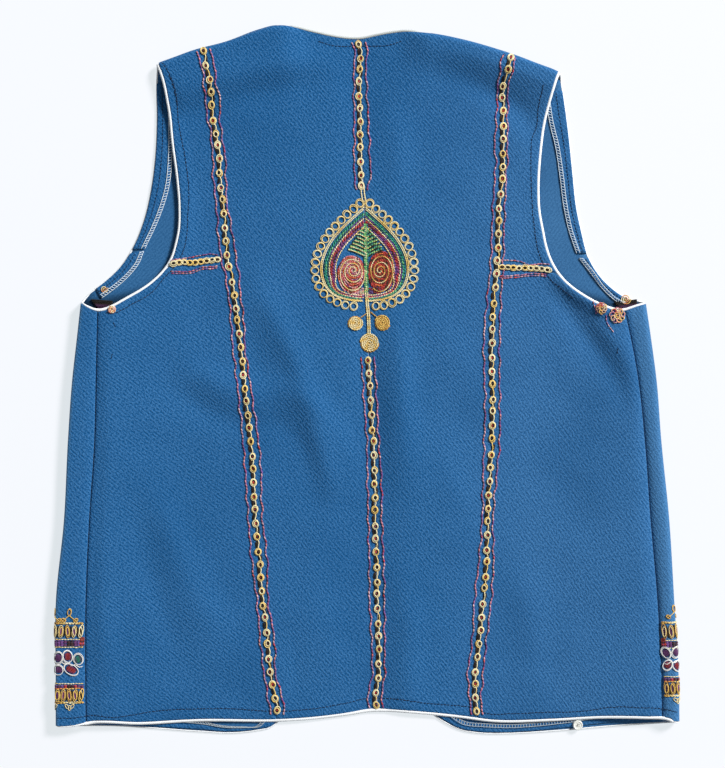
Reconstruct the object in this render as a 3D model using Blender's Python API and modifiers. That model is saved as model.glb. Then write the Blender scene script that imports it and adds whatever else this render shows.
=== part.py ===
"""An embroidered folk vest of blue wool twill, laid flat with its back up.

The vest is unlined.  Six panels make its back: two down the middle, two at the sides and two above the
short level seams beside the armholes.  Two fronts lie under the back.  They wrap round the side folds and
are seamed to the back on its upper side.  White piping edges the armholes and the hem, facings lie on the
fronts' wrong side, and a small button is sewn inside the right-hand front's hem.

Every panel is a grid of points between four edges.  The edges are smooth lines through short tables of
sizes taken across the laid vest, and one function gives the height of the back's outer face.  Solidify
makes the cloth wall.

Frame: metres, +Z up, +Y towards the neck, origin in the middle of the flat underside.  Left and right are
those of someone looking down at the back with the neck away from them.
"""

import math
from collections import namedtuple

import bmesh
import bpy
import numpy as np

# ---------------------------------------------------------------- sizes, in millimetres
CLOTH = 1.5                 # thickness of the wool twill
FACING = 1.0                # thickness of a facing
SEAM_GAP = 0.3              # space between two pieces at a seam
HALF_GAP = SEAM_GAP / 2
PIPING_RADIUS = 1.3         # piping seen in full, on the back
FLAT_PIPING_RADIUS = 0.75   # piping pressed under the fronts' edges
NECK_PIPING_RADIUS = 0.8

FOLD_RADIUS = 5.5           # outer radius of the side folds
SHOULDER_RADIUS = 5.0       # outer radius of the folds along the shoulders
BACK_LIE = 4.8              # height of the back's outer face where it lies on the fronts
FACING_LIE = 2.8            # height of the facings' upper face
FACING_SETBACK = 0.9        # a facing's outer edge stands this far inside the front's finished edge
GAP_SAG = 2.0               # the back sinks by this much between the parted fronts
CENTRE_SAG = 0.8            # and by this much along its centre seam
CENTRE_SAG_WIDTH = 14.0
FULL_SAG_WIDTH = 50.0       # half width of the opening at which the back sinks by all of GAP_SAG
FLOOR_GAP = 0.15            # the pressed piping stays this far above the ground
HEM_HEIGHT = -295.0         # y at which the side folds meet the hem
SEAM_BOTTOM = -290.0        # and the princess seams
SEAM_TOP = 280.0            # y at which the princess seams meet the shoulders

NECK_MIDDLE = -11.0         # the neck edge is free for NECK_FREE either side of here
NECK_FREE = 35.0
NECK_TURN = 65.0            # and the shoulder fold is fully turned from here outwards

NECK_PIPING_FROM = -68.0
NECK_PIPING_TO = 46.0

BUTTON_AT = (178.8, -295.7)
BUTTON_RADIUS = 4.3
BUTTON_STEPS = 20

# finishes
BLUE = (0.035, 0.115, 0.270)
WHITE = (0.80, 0.78, 0.72)
PEARL = (0.82, 0.80, 0.74)
CLOTH_ROUGHNESS = 0.85
PIPING_ROUGHNESS = 0.6
BUTTON_ROUGHNESS = 0.25

# the middle of the laid vest, in the tables' frame: it becomes the origin
MIDDLE_X = -0.47
MIDDLE_Y = -1.25

MM = 0.001
LEFT, RIGHT = "left", "right"
INWARD = {LEFT: 1.0, RIGHT: -1.0}      # direction of x from a side fold towards the middle

# ---------------------------------------------------------------- tables, in millimetres
# x runs to the right and y towards the neck, from a point near the middle of the back.

# outermost line of each side fold, side seam on the upper side, and how far in the fold's roll reaches
Side = namedtuple("Side", "y fold seam reach")
SIDES = {
    LEFT: (
        Side(y=-297, fold=-265.6, seam=-238.3, reach=60),
        Side(y=-257, fold=-265.6, seam=-238.8, reach=60),
        Side(y=-189, fold=-265.6, seam=-239.0, reach=60),
        Side(y=-121, fold=-258.8, seam=-235.4, reach=60),
        Side(y=-53, fold=-255.4, seam=-231.0, reach=60),
        Side(y=-2, fold=-252.0, seam=-229.8, reach=58),
        Side(y=32, fold=-247.8, seam=-229.0, reach=54),
        Side(y=70, fold=-243.4, seam=-228.2, reach=52),
    ),
    RIGHT: (
        Side(y=-297, fold=265.0, seam=250.5, reach=60),
        Side(y=-257, fold=264.4, seam=250.3, reach=60),
        Side(y=-189, fold=260.5, seam=246.8, reach=60),
        Side(y=-121, fold=256.3, seam=240.9, reach=60),
        Side(y=-53, fold=249.5, seam=236.0, reach=55),
        Side(y=-2, fold=245.5, seam=230.5, reach=44),
        Side(y=32, fold=241.0, seam=225.3, reach=38),
        Side(y=70, fold=235.4, seam=219.0, reach=36),
    ),
}

# embroidered seams of the back, from hem to shoulder and neck
Seam = namedtuple("Seam", "y left centre right")
SEAMS = (
    Seam(y=-300, left=-76.5, centre=8.0, right=93.2),
    Seam(y=-240, left=-83.6, centre=9.2, right=93.2),
    Seam(y=-180, left=-90.0, centre=7.9, right=99.0),
    Seam(y=-120, left=-95.3, centre=6.4, right=102.0),
    Seam(y=-60, left=-98.8, centre=5.0, right=105.5),
    Seam(y=0, left=-105.8, centre=1.3, right=106.7),
    Seam(y=50, left=-111.0, centre=0.4, right=106.3),
    Seam(y=100, left=-117.5, centre=-0.9, right=110.0),
    Seam(y=150, left=-123.0, centre=-2.6, right=113.0),
    Seam(y=200, left=-128.4, centre=-5.5, right=115.2),
    Seam(y=250, left=-133.0, centre=-6.4, right=116.0),
    Seam(y=290, left=-141.0, centre=-8.0, right=128.0),
)

# shoulder and neck line, and how far down the back the shoulder's roll reaches
Top = namedtuple("Top", "x y reach")
TOPS = (
    Top(x=-182, y=264.8, reach=75),
    Top(x=-170, y=269.8, reach=75),
    Top(x=-151, y=277.0, reach=75),
    Top(x=-117, y=286.9, reach=75),
    Top(x=-90, y=297.0, reach=74),
    Top(x=-76, y=300.3, reach=70),
    Top(x=-49, y=293.7, reach=62),
    Top(x=-23, y=288.6, reach=54),
    Top(x=-6, y=287.7, reach=48),
    Top(x=11, y=291.0, reach=44),
    Top(x=28, y=293.7, reach=42),
    Top(x=45, y=294.1, reach=40),
    Top(x=79, y=288.6, reach=40),
    Top(x=113, y=278.4, reach=40),
    Top(x=147, y=265.6, reach=40),
    Top(x=168, y=256.5, reach=40),
)

# middle of the back's hem piping
Hem = namedtuple("Hem", "x y")
BACK_HEM = (
    Hem(x=-266, y=-295.6),
    Hem(x=-250, y=-295.2),
    Hem(x=-238, y=-291.8),
    Hem(x=-192, y=-292.2),
    Hem(x=-142, y=-290.7),
    Hem(x=-77, y=-290.9),
    Hem(x=-50, y=-289.4),
    Hem(x=-15, y=-285.4),
    Hem(x=3, y=-282.6),
    Hem(x=17, y=-282.6),
    Hem(x=50, y=-284.7),
    Hem(x=83, y=-288.2),
    Hem(x=105, y=-291.1),
    Hem(x=155, y=-290.5),
    Hem(x=203, y=-287.7),
    Hem(x=237, y=-286.9),
    Hem(x=250, y=-287.7),
    Hem(x=265, y=-291.1),
)

# finished hem of each front, from the side fold to its lower corner
FRONT_HEM = {
    LEFT: (
        Hem(x=-266, y=-296.2),
        Hem(x=-211, y=-296.2),
        Hem(x=-185, y=-297.9),
        Hem(x=-141, y=-300.5),
        Hem(x=-114, y=-302.2),
        Hem(x=-93, y=-299.9),
        Hem(x=-82, y=-297.4),
        Hem(x=-76, y=-292.8),
    ),
    RIGHT: (
        Hem(x=50, y=-281.0),
        Hem(x=56, y=-286.5),
        Hem(x=67, y=-293.7),
        Hem(x=77, y=-298.8),
        Hem(x=94, y=-302.2),
        Hem(x=115, y=-302.8),
        Hem(x=147, y=-301.1),
        Hem(x=169, y=-298.8),
        Hem(x=203, y=-295.0),
        Hem(x=243, y=-292.0),
        Hem(x=266, y=-291.6),
    ),
}

# open edge of each front, from its lower corner to the neck point at the shoulder
Opening = namedtuple("Opening", "y left right")
OPENINGS = (
    Opening(y=-310, left=-76, right=66),
    Opening(y=-293, left=-76, right=57),
    Opening(y=-281, left=-74, right=50),
    Opening(y=-250, left=-70, right=43),
    Opening(y=-100, left=-40, right=30),
    Opening(y=50, left=-14, right=10),
    Opening(y=150, left=-9, right=5),
    Opening(y=210, left=-22, right=18),
    Opening(y=260, left=-52, right=40),
    Opening(y=300, left=-77, right=56),
)

# middle of the armhole piping on the back, from the shoulder round to the side fold
Point = namedtuple("Point", "x y")
BACK_ARMHOLE = {
    LEFT: (
        Point(x=-179.0, y=268.0),
        Point(x=-177.2, y=263.1),
        Point(x=-173.8, y=252.9),
        Point(x=-168.7, y=227.4),
        Point(x=-165.3, y=197.6),
        Point(x=-161.1, y=172.1),
        Point(x=-158.5, y=142.4),
        Point(x=-159.4, y=125.4),
        Point(x=-161.9, y=112.6),
        Point(x=-165.3, y=101.6),
        Point(x=-169.6, y=95.6),
        Point(x=-182.3, y=82.0),
        Point(x=-206.1, y=66.7),
        Point(x=-220.6, y=59.1),
        Point(x=-228.6, y=56.8),
        Point(x=-236.0, y=59.9),
        Point(x=-244.5, y=64.4),
    ),
    RIGHT: (
        Point(x=164.6, y=262.0),
        Point(x=162.8, y=258.8),
        Point(x=157.7, y=244.4),
        Point(x=153.4, y=229.1),
        Point(x=150.0, y=213.8),
        Point(x=147.5, y=193.4),
        Point(x=145.5, y=162.0),
        Point(x=146.2, y=142.4),
        Point(x=149.2, y=125.4),
        Point(x=153.4, y=108.4),
        Point(x=159.4, y=93.1),
        Point(x=167.9, y=82.0),
        Point(x=180.6, y=71.8),
        Point(x=197.6, y=62.9),
        Point(x=212.0, y=58.2),
        Point(x=219.5, y=57.2),
        Point(x=226.5, y=59.9),
        Point(x=236.5, y=64.2),
    ),
}

# finished armhole edge of each front, from the shoulder to the start of the side fold
FRONT_ARMHOLE = {
    LEFT: (
        Point(x=-179.2, y=268.0),
        Point(x=-180.2, y=252.0),
        Point(x=-179.8, y=218.9),
        Point(x=-181.5, y=184.9),
        Point(x=-184.9, y=159.4),
        Point(x=-190.8, y=133.9),
        Point(x=-199.3, y=112.6),
        Point(x=-208.7, y=97.3),
        Point(x=-227.4, y=79.5),
        Point(x=-238.5, y=71.8),
    ),
    RIGHT: (
        Point(x=164.4, y=262.0),
        Point(x=165.0, y=248.0),
        Point(x=167.0, y=231.6),
        Point(x=170.4, y=206.1),
        Point(x=174.3, y=172.1),
        Point(x=177.2, y=146.6),
        Point(x=181.9, y=123.7),
        Point(x=188.3, y=101.6),
        Point(x=199.3, y=85.4),
        Point(x=214.6, y=71.8),
        Point(x=220.5, y=68.2),
        Point(x=231.0, y=66.0),
    ),
}

# heights across the laid vest at which the armhole edge passes each part of the side fold
Underarm = namedtuple("Underarm", "start outer")
UNDERARM = {
    LEFT: Underarm(start=69.5, outer=62.8),
    RIGHT: Underarm(start=64.2, outer=62.4),
}

# the short level seams between armhole and princess seam: height at x, and slope
Level = namedtuple("Level", "x y slope")
LEVELS = {
    LEFT: Level(x=-118.0, y=101.6, slope=0.118),
    RIGHT: Level(x=110.0, y=93.6, slope=-0.090),
}

# overlocked inner edges of the armhole facings, from the shoulder to the underarm, in two pieces each
ARMHOLE_FACING_INNER = {
    (LEFT, "upper"): (
        Point(x=-168.0, y=250.0),
        Point(x=-166.6, y=226.0),
        Point(x=-166.2, y=193.4),
        Point(x=-169.6, y=159.4),
        Point(x=-178.1, y=133.9),
        Point(x=-189.8, y=109.0),
    ),
    (LEFT, "lower"): (
        Point(x=-190.4, y=107.5),
        Point(x=-196.8, y=96.5),
        Point(x=-203.6, y=88.0),
        Point(x=-217.2, y=76.1),
        Point(x=-230.0, y=67.0),
    ),
    (RIGHT, "upper"): (
        Point(x=151.0, y=243.0),
        Point(x=155.0, y=217.0),
        Point(x=160.2, y=195.1),
        Point(x=163.6, y=172.1),
        Point(x=167.5, y=142.4),
        Point(x=171.3, y=125.4),
        Point(x=178.0, y=105.5),
    ),
    (RIGHT, "lower"): (
        Point(x=180.0, y=101.6),
        Point(x=189.1, y=89.7),
        Point(x=201.0, y=74.4),
        Point(x=212.9, y=64.2),
        Point(x=222.0, y=60.5),
    ),
}
# where along the front's armhole edge, by y, each facing piece starts and ends
FacingSpan = namedtuple("FacingSpan", "start end")
ARMHOLE_FACING_SPANS = {
    (LEFT, "upper"): FacingSpan(start=252.0, end=108.6),
    (LEFT, "lower"): FacingSpan(start=107.2, end=74.5),
    (RIGHT, "upper"): FacingSpan(start=246.0, end=104.5),
    (RIGHT, "lower"): FacingSpan(start=102.4, end=68.4),
}

# hem facings: outer edge along the front's finished hem and corner, and overlocked inner edge
HEM_FACING_OUTER = {
    LEFT: (
        Point(x=-232.0, y=-295.4),
        Point(x=-185.0, y=-296.9),
        Point(x=-141.0, y=-299.5),
        Point(x=-114.0, y=-301.2),
        Point(x=-93.0, y=-298.9),
        Point(x=-82.5, y=-296.4),
        Point(x=-77.2, y=-291.8),
        Point(x=-75.5, y=-282.0),
    ),
    RIGHT: (
        Point(x=51.5, y=-280.6),
        Point(x=57.2, y=-285.8),
        Point(x=67.4, y=-292.7),
        Point(x=77.3, y=-297.8),
        Point(x=94.0, y=-301.2),
        Point(x=115.0, y=-301.8),
        Point(x=147.0, y=-300.1),
        Point(x=169.0, y=-297.8),
        Point(x=203.0, y=-294.0),
        Point(x=238.0, y=-291.3),
    ),
}
HEM_FACING_INNER = {
    LEFT: (
        Point(x=-232.0, y=-287.4),
        Point(x=-185.0, y=-289.2),
        Point(x=-141.0, y=-292.8),
        Point(x=-124.0, y=-296.2),
        Point(x=-105.0, y=-297.2),
        Point(x=-95.0, y=-297.0),
        Point(x=-90.5, y=-293.0),
        Point(x=-89.5, y=-282.0),
    ),
    RIGHT: (
        Point(x=57.0, y=-275.0),
        Point(x=62.0, y=-279.8),
        Point(x=70.0, y=-284.6),
        Point(x=83.0, y=-292.8),
        Point(x=99.0, y=-294.5),
        Point(x=120.0, y=-295.4),
        Point(x=155.0, y=-292.8),
        Point(x=171.0, y=-290.8),
        Point(x=203.0, y=-286.0),
        Point(x=238.0, y=-284.0),
    ),
}

# largest soft creases of the back: points along each crest, its rise and the half width of its bell
Crest = namedtuple("Crest", "x y rise spread")
CREASES = (
    (
        Crest(x=-96, y=100, rise=0.4, spread=15),
        Crest(x=-74, y=64, rise=1.6, spread=15),
        Crest(x=-50, y=22, rise=2.0, spread=15),
        Crest(x=-28, y=-44, rise=2.2, spread=14),
        Crest(x=-17, y=-108, rise=0.6, spread=14),
    ),
    (
        Crest(x=-176, y=10, rise=0.3, spread=14),
        Crest(x=-146, y=-2, rise=1.5, spread=13),
        Crest(x=-108, y=-17, rise=1.8, spread=13),
        Crest(x=-66, y=-20, rise=0.8, spread=13),
    ),
    (
        Crest(x=-182, y=-84, rise=0.3, spread=17),
        Crest(x=-168, y=-140, rise=1.4, spread=17),
        Crest(x=-146, y=-205, rise=1.5, spread=18),
        Crest(x=-132, y=-246, rise=0.3, spread=17),
    ),
    (
        Crest(x=176, y=60, rise=-0.5, spread=12),
        Crest(x=190, y=40, rise=-1.3, spread=13),
        Crest(x=202, y=12, rise=-1.1, spread=13),
        Crest(x=206, y=-30, rise=-0.2, spread=13),
    ),
    (
        Crest(x=30, y=-60, rise=0.4, spread=16),
        Crest(x=56, y=-92, rise=1.3, spread=16),
        Crest(x=70, y=-140, rise=0.8, spread=16),
    ),
)

# cells of the panels' grids; rows meet on both sides of a seam
LOWER_ROWS = 18                # below the level seams and the underarms
YOKE_ROWS = 11                 # above the level seams
CENTRE_CELLS = 8               # across a centre panel
ARMHOLE_CELLS = 6              # across a side panel, below the armhole
LEVEL_CELLS = 5                # and below the level seam
YOKE_CELLS = 4                 # across an armhole panel
FRONT_CELLS = 10               # across a front
FRONT_UPPER_ROWS = 11          # above the underarm
FRONT_CROWDING = 1.6           # cells across a front grow narrower towards its open edge by this power
UNDERARM_CROWDING = 1.35       # and its rows above the underarm grow closer towards it by this one
FOLD_CELLS = 6                 # round the side fold
STRIP_CELLS = 2                # from the fold to the side seam
TURN_CELLS = 3                 # round each half of the shoulder fold
TURN_END = 0.16                # last share of each half, straight up or down to the shoulder seam
FACING_CELLS = {"upper": 16, "lower": 8}
HEM_FACING_CELLS = 18

LINE_STEP = 3.0                # between the points of a smooth line, in millimetres
CREST_STEP = 5.0               # and of a crease's crest
CORD_STEP = 1.0                # a cord's points stand further apart than this
MITRE_LIMIT = 0.6              # smallest cosine of half a corner's turn that a cord follows in full
FILL_ROUNDS = 60               # rounds in which a grid settles between its edges
WELD = 0.01                    # points nearer than this become one
SMOOTH_ANGLE = 40              # edges turned by more than this, in degrees, stay sharp


# ---------------------------------------------------------------- lines through the tables
def smooth(knots, values, at):
    """Cubic line through rows of values at the knots; a row's slope is the weighted mean of both sides."""
    knots = np.asarray(knots, float)
    values = np.asarray(values, float).reshape(len(knots), -1)
    gaps = np.diff(knots)[:, None]
    slopes = np.diff(values, axis=0) / gaps
    inner = (slopes[:-1] * gaps[1:] + slopes[1:] * gaps[:-1]) / (gaps[1:] + gaps[:-1])
    tangents = np.vstack([slopes[:1], inner, slopes[-1:]])
    at = np.asarray(at, float)
    flat = np.clip(at.ravel(), knots[0], knots[-1])
    cell = np.clip(np.searchsorted(knots, flat, side="right") - 1, 0, len(knots) - 2)
    gap = gaps[cell]
    t = (flat[:, None] - knots[cell][:, None]) / gap
    result = (
        values[cell] * (2 * t**3 - 3 * t**2 + 1)
        + tangents[cell] * gap * (t**3 - 2 * t**2 + t)
        + values[cell + 1] * (3 * t**2 - 2 * t**3)
        + tangents[cell + 1] * gap * (t**3 - t**2)
    )
    return result.reshape(at.shape + (values.shape[1],))


def column(table, key, name):
    """A table's column as a smooth function of its key column."""
    knots = [getattr(row, key) for row in table]
    values = [getattr(row, name) for row in table]
    return lambda at: smooth(knots, values, at)[..., 0]


def path(rows, step=LINE_STEP):
    """Points about step apart on a smooth line through rows of x, y and any further columns."""
    rows = np.array(rows, float)
    knots = np.append(0.0, np.cumsum(np.linalg.norm(np.diff(rows[:, :2], axis=0), axis=1)))
    count = int(round(knots[-1] / step)) + 1
    return smooth(knots, rows, np.linspace(0.0, knots[-1], count))


def shares(cells):
    """Even shares from 0 to 1 for a number of cells; an array of shares passes through."""
    if np.isscalar(cells):
        return np.linspace(0.0, 1.0, cells + 1)
    return np.asarray(cells, float)


def spaced(rows, cells):
    """Points of a smooth line through rows of x and y, at nearly even shares of its length."""
    line = path(rows)
    return line[np.round(shares(cells) * (len(line) - 1)).astype(int)]


def inset(line, distance):
    """A line moved sideways by distance, to the left of its own direction."""
    tangent = np.gradient(line, axis=0)
    tangent /= np.linalg.norm(tangent, axis=1)[:, None]
    return line + distance * np.stack([-tangent[:, 1], tangent[:, 0]], axis=1)


def bell(distance):
    """1 at distance 0, falling smoothly to 0 at distance 1."""
    return 0.5 + 0.5 * np.cos(math.pi * np.clip(distance, 0.0, 1.0))


fold_of = {side: column(SIDES[side], "y", "fold") for side in (LEFT, RIGHT)}
side_seam_of = {side: column(SIDES[side], "y", "seam") for side in (LEFT, RIGHT)}
reach_of = {side: column(SIDES[side], "y", "reach") for side in (LEFT, RIGHT)}
opening_of = {side: column(OPENINGS, "y", side) for side in (LEFT, RIGHT)}
seam_of = {name: column(SEAMS, "y", name) for name in (LEFT, "centre", RIGHT)}
front_hem_of = {side: column(FRONT_HEM[side], "x", "y") for side in (LEFT, RIGHT)}
top_line = column(TOPS, "x", "y")
top_reach = column(TOPS, "x", "reach")
hem_piping_line = column(BACK_HEM, "x", "y")


def back_rim(side):
    """The back's cloth edge round the armhole: the piping's line, moved in by its radius and the seam gap."""
    return inset(path(BACK_ARMHOLE[side]), INWARD[side] * (PIPING_RADIUS + SEAM_GAP))


def front_rim(side):
    """The front's cloth edge round the armhole, ending where the side fold starts."""
    line = inset(path(FRONT_ARMHOLE[side]), INWARD[side] * (2 * FLAT_PIPING_RADIUS + SEAM_GAP))
    start = UNDERARM[side].start
    end = [fold_of[side](start) + INWARD[side] * FOLD_RADIUS, start]
    keep = (line[:, 1] > start + 0.5) & ((line[:, 0] - end[0]) * INWARD[side] > 0)
    return np.vstack([line[keep], end])


def x_at(line, y):
    """The x of a line at a height."""
    order = np.argsort(line[:, 1])
    return np.interp(y, line[order, 1], line[order, 0])


def y_at(line, x):
    """The height of a line at an x."""
    order = np.argsort(line[:, 0])
    return np.interp(x, line[order, 0], line[order, 1])


# ---------------------------------------------------------------- heights
def turn(x):
    """How far the top edge is turned over as a shoulder fold: 0 at the free neck edge, 1 at the shoulders."""
    return 1.0 - bell((np.abs(x - NECK_MIDDLE) - NECK_FREE) / (NECK_TURN - NECK_FREE))


def crease(x, y, rows):
    """Rise of a soft crease: its crest's rise times a bell of the distance to the crest."""
    crest = path(rows, step=CREST_STEP)
    gap = np.hypot(x[..., None] - crest[:, 0], y[..., None] - crest[:, 1])
    nearest = np.argmin(gap, axis=-1)
    gap = np.take_along_axis(gap, nearest[..., None], axis=-1)[..., 0]
    return crest[nearest, 2] * np.exp(-((gap / crest[nearest, 3]) ** 2))


def lie(x, y):
    """Height of the back's outer face: lying on the fronts, rolling up to the side folds and the shoulder
    folds, sinking between the parted fronts and along the centre seam, with the soft creases."""
    x, y = np.broadcast_arrays(np.asarray(x, float), np.asarray(y, float))
    roll = np.zeros(x.shape)
    for side in (LEFT, RIGHT):
        inside = INWARD[side] * (x - fold_of[side](y)) - FOLD_RADIUS
        roll = np.maximum(roll, bell(inside / reach_of[side](y)))
    height = BACK_LIE + (2 * FOLD_RADIUS - BACK_LIE) * roll
    from_top = top_line(x) - SHOULDER_RADIUS - y
    shoulder = bell(from_top / top_reach(x)) * turn(x)
    height = height + (2 * SHOULDER_RADIUS - BACK_LIE) * shoulder * (1 - roll)
    loose = (1 - roll) * (1 - shoulder)
    half_width = 0.5 * (opening_of[RIGHT](y) - opening_of[LEFT](y))
    middle = 0.5 * (opening_of[RIGHT](y) + opening_of[LEFT](y))
    depth = GAP_SAG * np.clip(half_width / FULL_SAG_WIDTH, 0.0, 1.0)
    height = height - depth * bell(np.abs(x - middle) / half_width) * loose
    centre = np.exp(-(((x - seam_of["centre"](y)) / CENTRE_SAG_WIDTH) ** 2))
    height = height - CENTRE_SAG * centre * loose
    for rows in CREASES:
        height = height + crease(x, y, rows) * loose
    return height


# ---------------------------------------------------------------- grids of points
def fill(left, right, bottom, top, across, along):
    """A grid between four edges: x runs from left(y) to right(y) and y from bottom(x) to top(x)."""
    u = shares(across)[None, :]
    v = shares(along)[:, None]
    x = np.zeros((v.shape[0], u.shape[1]))
    y = bottom(x) * (1 - v) + top(x) * v
    for _ in range(FILL_ROUNDS):
        x = left(y) * (1 - u) + right(y) * u
        y = bottom(x) * (1 - v) + top(x) * v
    return x, y


def grid(x, y, z):
    """Three arrays of one shape as an array of points."""
    x, y, z = np.broadcast_arrays(x, y, z)
    return np.stack([x, y, z], axis=-1)


def turned_rows(x_of, y, z, end):
    """Rows that carry the last row of a grid round half of the shoulder fold: a quarter circle, then
    straight to the height end.  Where the edge is free they run on level instead."""
    rows = []
    steps = np.append(np.linspace(0.0, 1.0, TURN_CELLS + 1)[1:], 1.0)
    level = np.append(np.linspace(0.0, 1.0 - TURN_END, TURN_CELLS + 1)[1:], 1.0)
    drop = np.append(np.full(TURN_CELLS, 1.0 - TURN_END), 1.0)
    turned = turn(x_of(y))
    for step, run, part in zip(steps * math.pi / 2, level, drop):
        y_row = y + SHOULDER_RADIUS * (turned * math.sin(step) + (1 - turned) * run)
        z_row = z + (end - z) * part * turned * (1 - math.cos(step))
        rows.append(grid(x_of(y_row), y_row, z_row))
    return np.stack(rows)


def back_panel(left, right, bottom, cells, rim=None):
    """Outer face of a panel of the back, up to rim or, without one, over the shoulder fold or to the neck."""
    if rim is not None:
        x, y = fill(left, right, bottom, rim, *cells)
        return grid(x, y, lie(x, y))
    x, y = fill(left, right, bottom, lambda at: top_line(at) - SHOULDER_RADIUS, *cells)
    u = shares(cells[0])
    points = grid(x, y, lie(x, y))
    last = points[-1]
    over = turned_rows(
        lambda at: left(at) * (1 - u) + right(at) * u,
        last[:, 1],
        last[:, 2],
        SHOULDER_RADIUS + HALF_GAP,
    )
    return np.concatenate([points, over])


def front_panel(side):
    """Outer faces of a front: the sheet on the ground up to the underarm, the sheet above it, and the part
    that goes round the side fold and over to the side seam."""
    start = UNDERARM[side].start
    rim = front_rim(side)
    inner = opening_of[side]
    across = 1.0 - (1.0 - shares(FRONT_CELLS)) ** FRONT_CROWDING
    along = shares(LOWER_ROWS)
    hem_inset = 2 * FLAT_PIPING_RADIUS + SEAM_GAP

    def hem(x):
        return front_hem_of[side](x) + hem_inset

    def fold_start(y):
        return fold_of[side](y) + INWARD[side] * FOLD_RADIUS

    def level(x):
        return np.full(np.shape(x), start)

    x, y = fill(fold_start, inner, hem, level, across, along)
    lower = grid(x, y, 0.0)
    upper_along = shares(FRONT_UPPER_ROWS) ** UNDERARM_CROWDING

    def rim_x(y):
        return x_at(rim, y)

    def shoulder(x):
        return top_line(x) - SHOULDER_RADIUS

    x, y = fill(rim_x, inner, level, shoulder, across, upper_along)
    upper = grid(x, y, 0.0)
    last = upper[-1]
    over = turned_rows(
        lambda at: rim_x(at) * (1 - across) + inner(at) * across,
        last[:, 1],
        last[:, 2],
        SHOULDER_RADIUS - HALF_GAP,
    )
    upper = np.concatenate([upper, over])

    back_edge = back_rim(side)
    seam_inset = INWARD[side] * HALF_GAP
    crown = fold_start(UNDERARM[side].outer)
    front_bottom = hem(fold_start(HEM_HEIGHT))
    back_bottom = hem_piping_line(fold_of[side](HEM_HEIGHT)) + PIPING_RADIUS + SEAM_GAP
    columns = [lower[:, 0]]
    for angle in np.linspace(0.0, math.pi, FOLD_CELLS + 1)[1:]:
        share = math.sin(angle)
        top = start + (UNDERARM[side].outer - start) * share
        if angle > math.pi / 2:
            top = y_at(back_edge, crown) + (UNDERARM[side].outer - y_at(back_edge, crown)) * share
        bottom = front_bottom + (back_bottom - front_bottom) * (1 - math.cos(angle)) / 2
        y = bottom + (top - bottom) * along
        x = fold_start(y) - INWARD[side] * FOLD_RADIUS * math.sin(angle)
        columns.append(grid(x, y, FOLD_RADIUS * (1 - math.cos(angle))))
    for share in np.linspace(0.0, 1.0, STRIP_CELLS + 1)[1:]:
        y = columns[-1][:, 1]
        for _ in range(FILL_ROUNDS):
            x = fold_start(y) * (1 - share) + (side_seam_of[side](y) - seam_inset) * share
            y = (hem_piping_line(x) + PIPING_RADIUS + SEAM_GAP) * (1 - along) + y_at(back_edge, x) * along
        columns.append(grid(x, y, lie(x, y)))
    wrap = np.stack(columns, axis=1)
    return lower, upper, wrap


# ---------------------------------------------------------------- objects
def material(name, colour, roughness):
    """A plain finish for one piece."""
    made = bpy.data.materials.new(name)
    made.use_nodes = True
    surface = made.node_tree.nodes["Principled BSDF"]
    surface.inputs["Base Color"].default_value = (*colour, 1.0)
    surface.inputs["Roughness"].default_value = roughness
    surface.inputs["Metallic"].default_value = 0.0
    return made


def place(points):
    """Points of the tables' frame, in millimetres, as points of the part's frame, in metres."""
    return (np.asarray(points, float) - (MIDDLE_X, MIDDLE_Y, 0.0)) * MM


def add_object(name, data, colour, roughness):
    """An object in the vest's collection, with its own material."""
    made = bpy.data.objects.new(name, data)
    vest.objects.link(made)
    data.materials.append(material(name, colour, roughness))
    return made


def cloth(name, grids, wall, colour):
    """A piece of cloth: the grids welded into one outer face, then given its thickness on the inner side."""
    mesh = bpy.data.meshes.new(name)
    points = []
    faces = []
    for array, flip in grids:
        rows, columns = array.shape[:2]
        start = sum(len(block) for block in points)
        points.append(place(array.reshape(-1, 3)))
        index = start + np.arange(rows * columns).reshape(rows, columns)
        quads = np.stack([index[:-1, :-1], index[:-1, 1:], index[1:, 1:], index[1:, :-1]], axis=-1)
        quads = quads.reshape(-1, 4)
        faces.append(quads[:, ::-1] if flip else quads)
    mesh.from_pydata(np.concatenate(points).tolist(), [], np.concatenate(faces).tolist())
    work = bmesh.new()
    work.from_mesh(mesh)
    bmesh.ops.remove_doubles(work, verts=work.verts, dist=WELD * MM)
    work.to_mesh(mesh)
    work.free()
    made = add_object(name, mesh, colour, CLOTH_ROUGHNESS)
    thick = made.modifiers.new("wall", "SOLIDIFY")
    thick.thickness = wall * MM
    thick.offset = -1.0
    thick.use_even_offset = True
    thick.use_rim = True
    mesh.shade_smooth()
    mesh.set_sharp_from_angle(angle=math.radians(SMOOTH_ANGLE))
    return made


def cord(name, points, radii, colour, closed=False):
    """A round cord through the points, its radius given at each."""
    data = bpy.data.curves.new(name, "CURVE")
    data.dimensions = "3D"
    data.bevel_depth = max(radii) * MM
    data.bevel_resolution = 1
    data.use_fill_caps = not closed
    spline = data.splines.new("POLY")
    spline.points.add(len(points) - 1)
    for point, (x, y, z), radius in zip(spline.points, place(points), radii):
        point.co = (x, y, z, 1.0)
        point.radius = radius / max(radii)
    spline.use_cyclic_u = closed
    return add_object(name, data, colour, PIPING_ROUGHNESS)


def facing_out(points, sign):
    """Unit normals of a grid: the cross product of its two directions, times sign."""
    normal = np.cross(np.gradient(points, axis=1), np.gradient(points, axis=0)) * sign
    return normal / np.linalg.norm(normal, axis=-1)[..., None]


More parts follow.
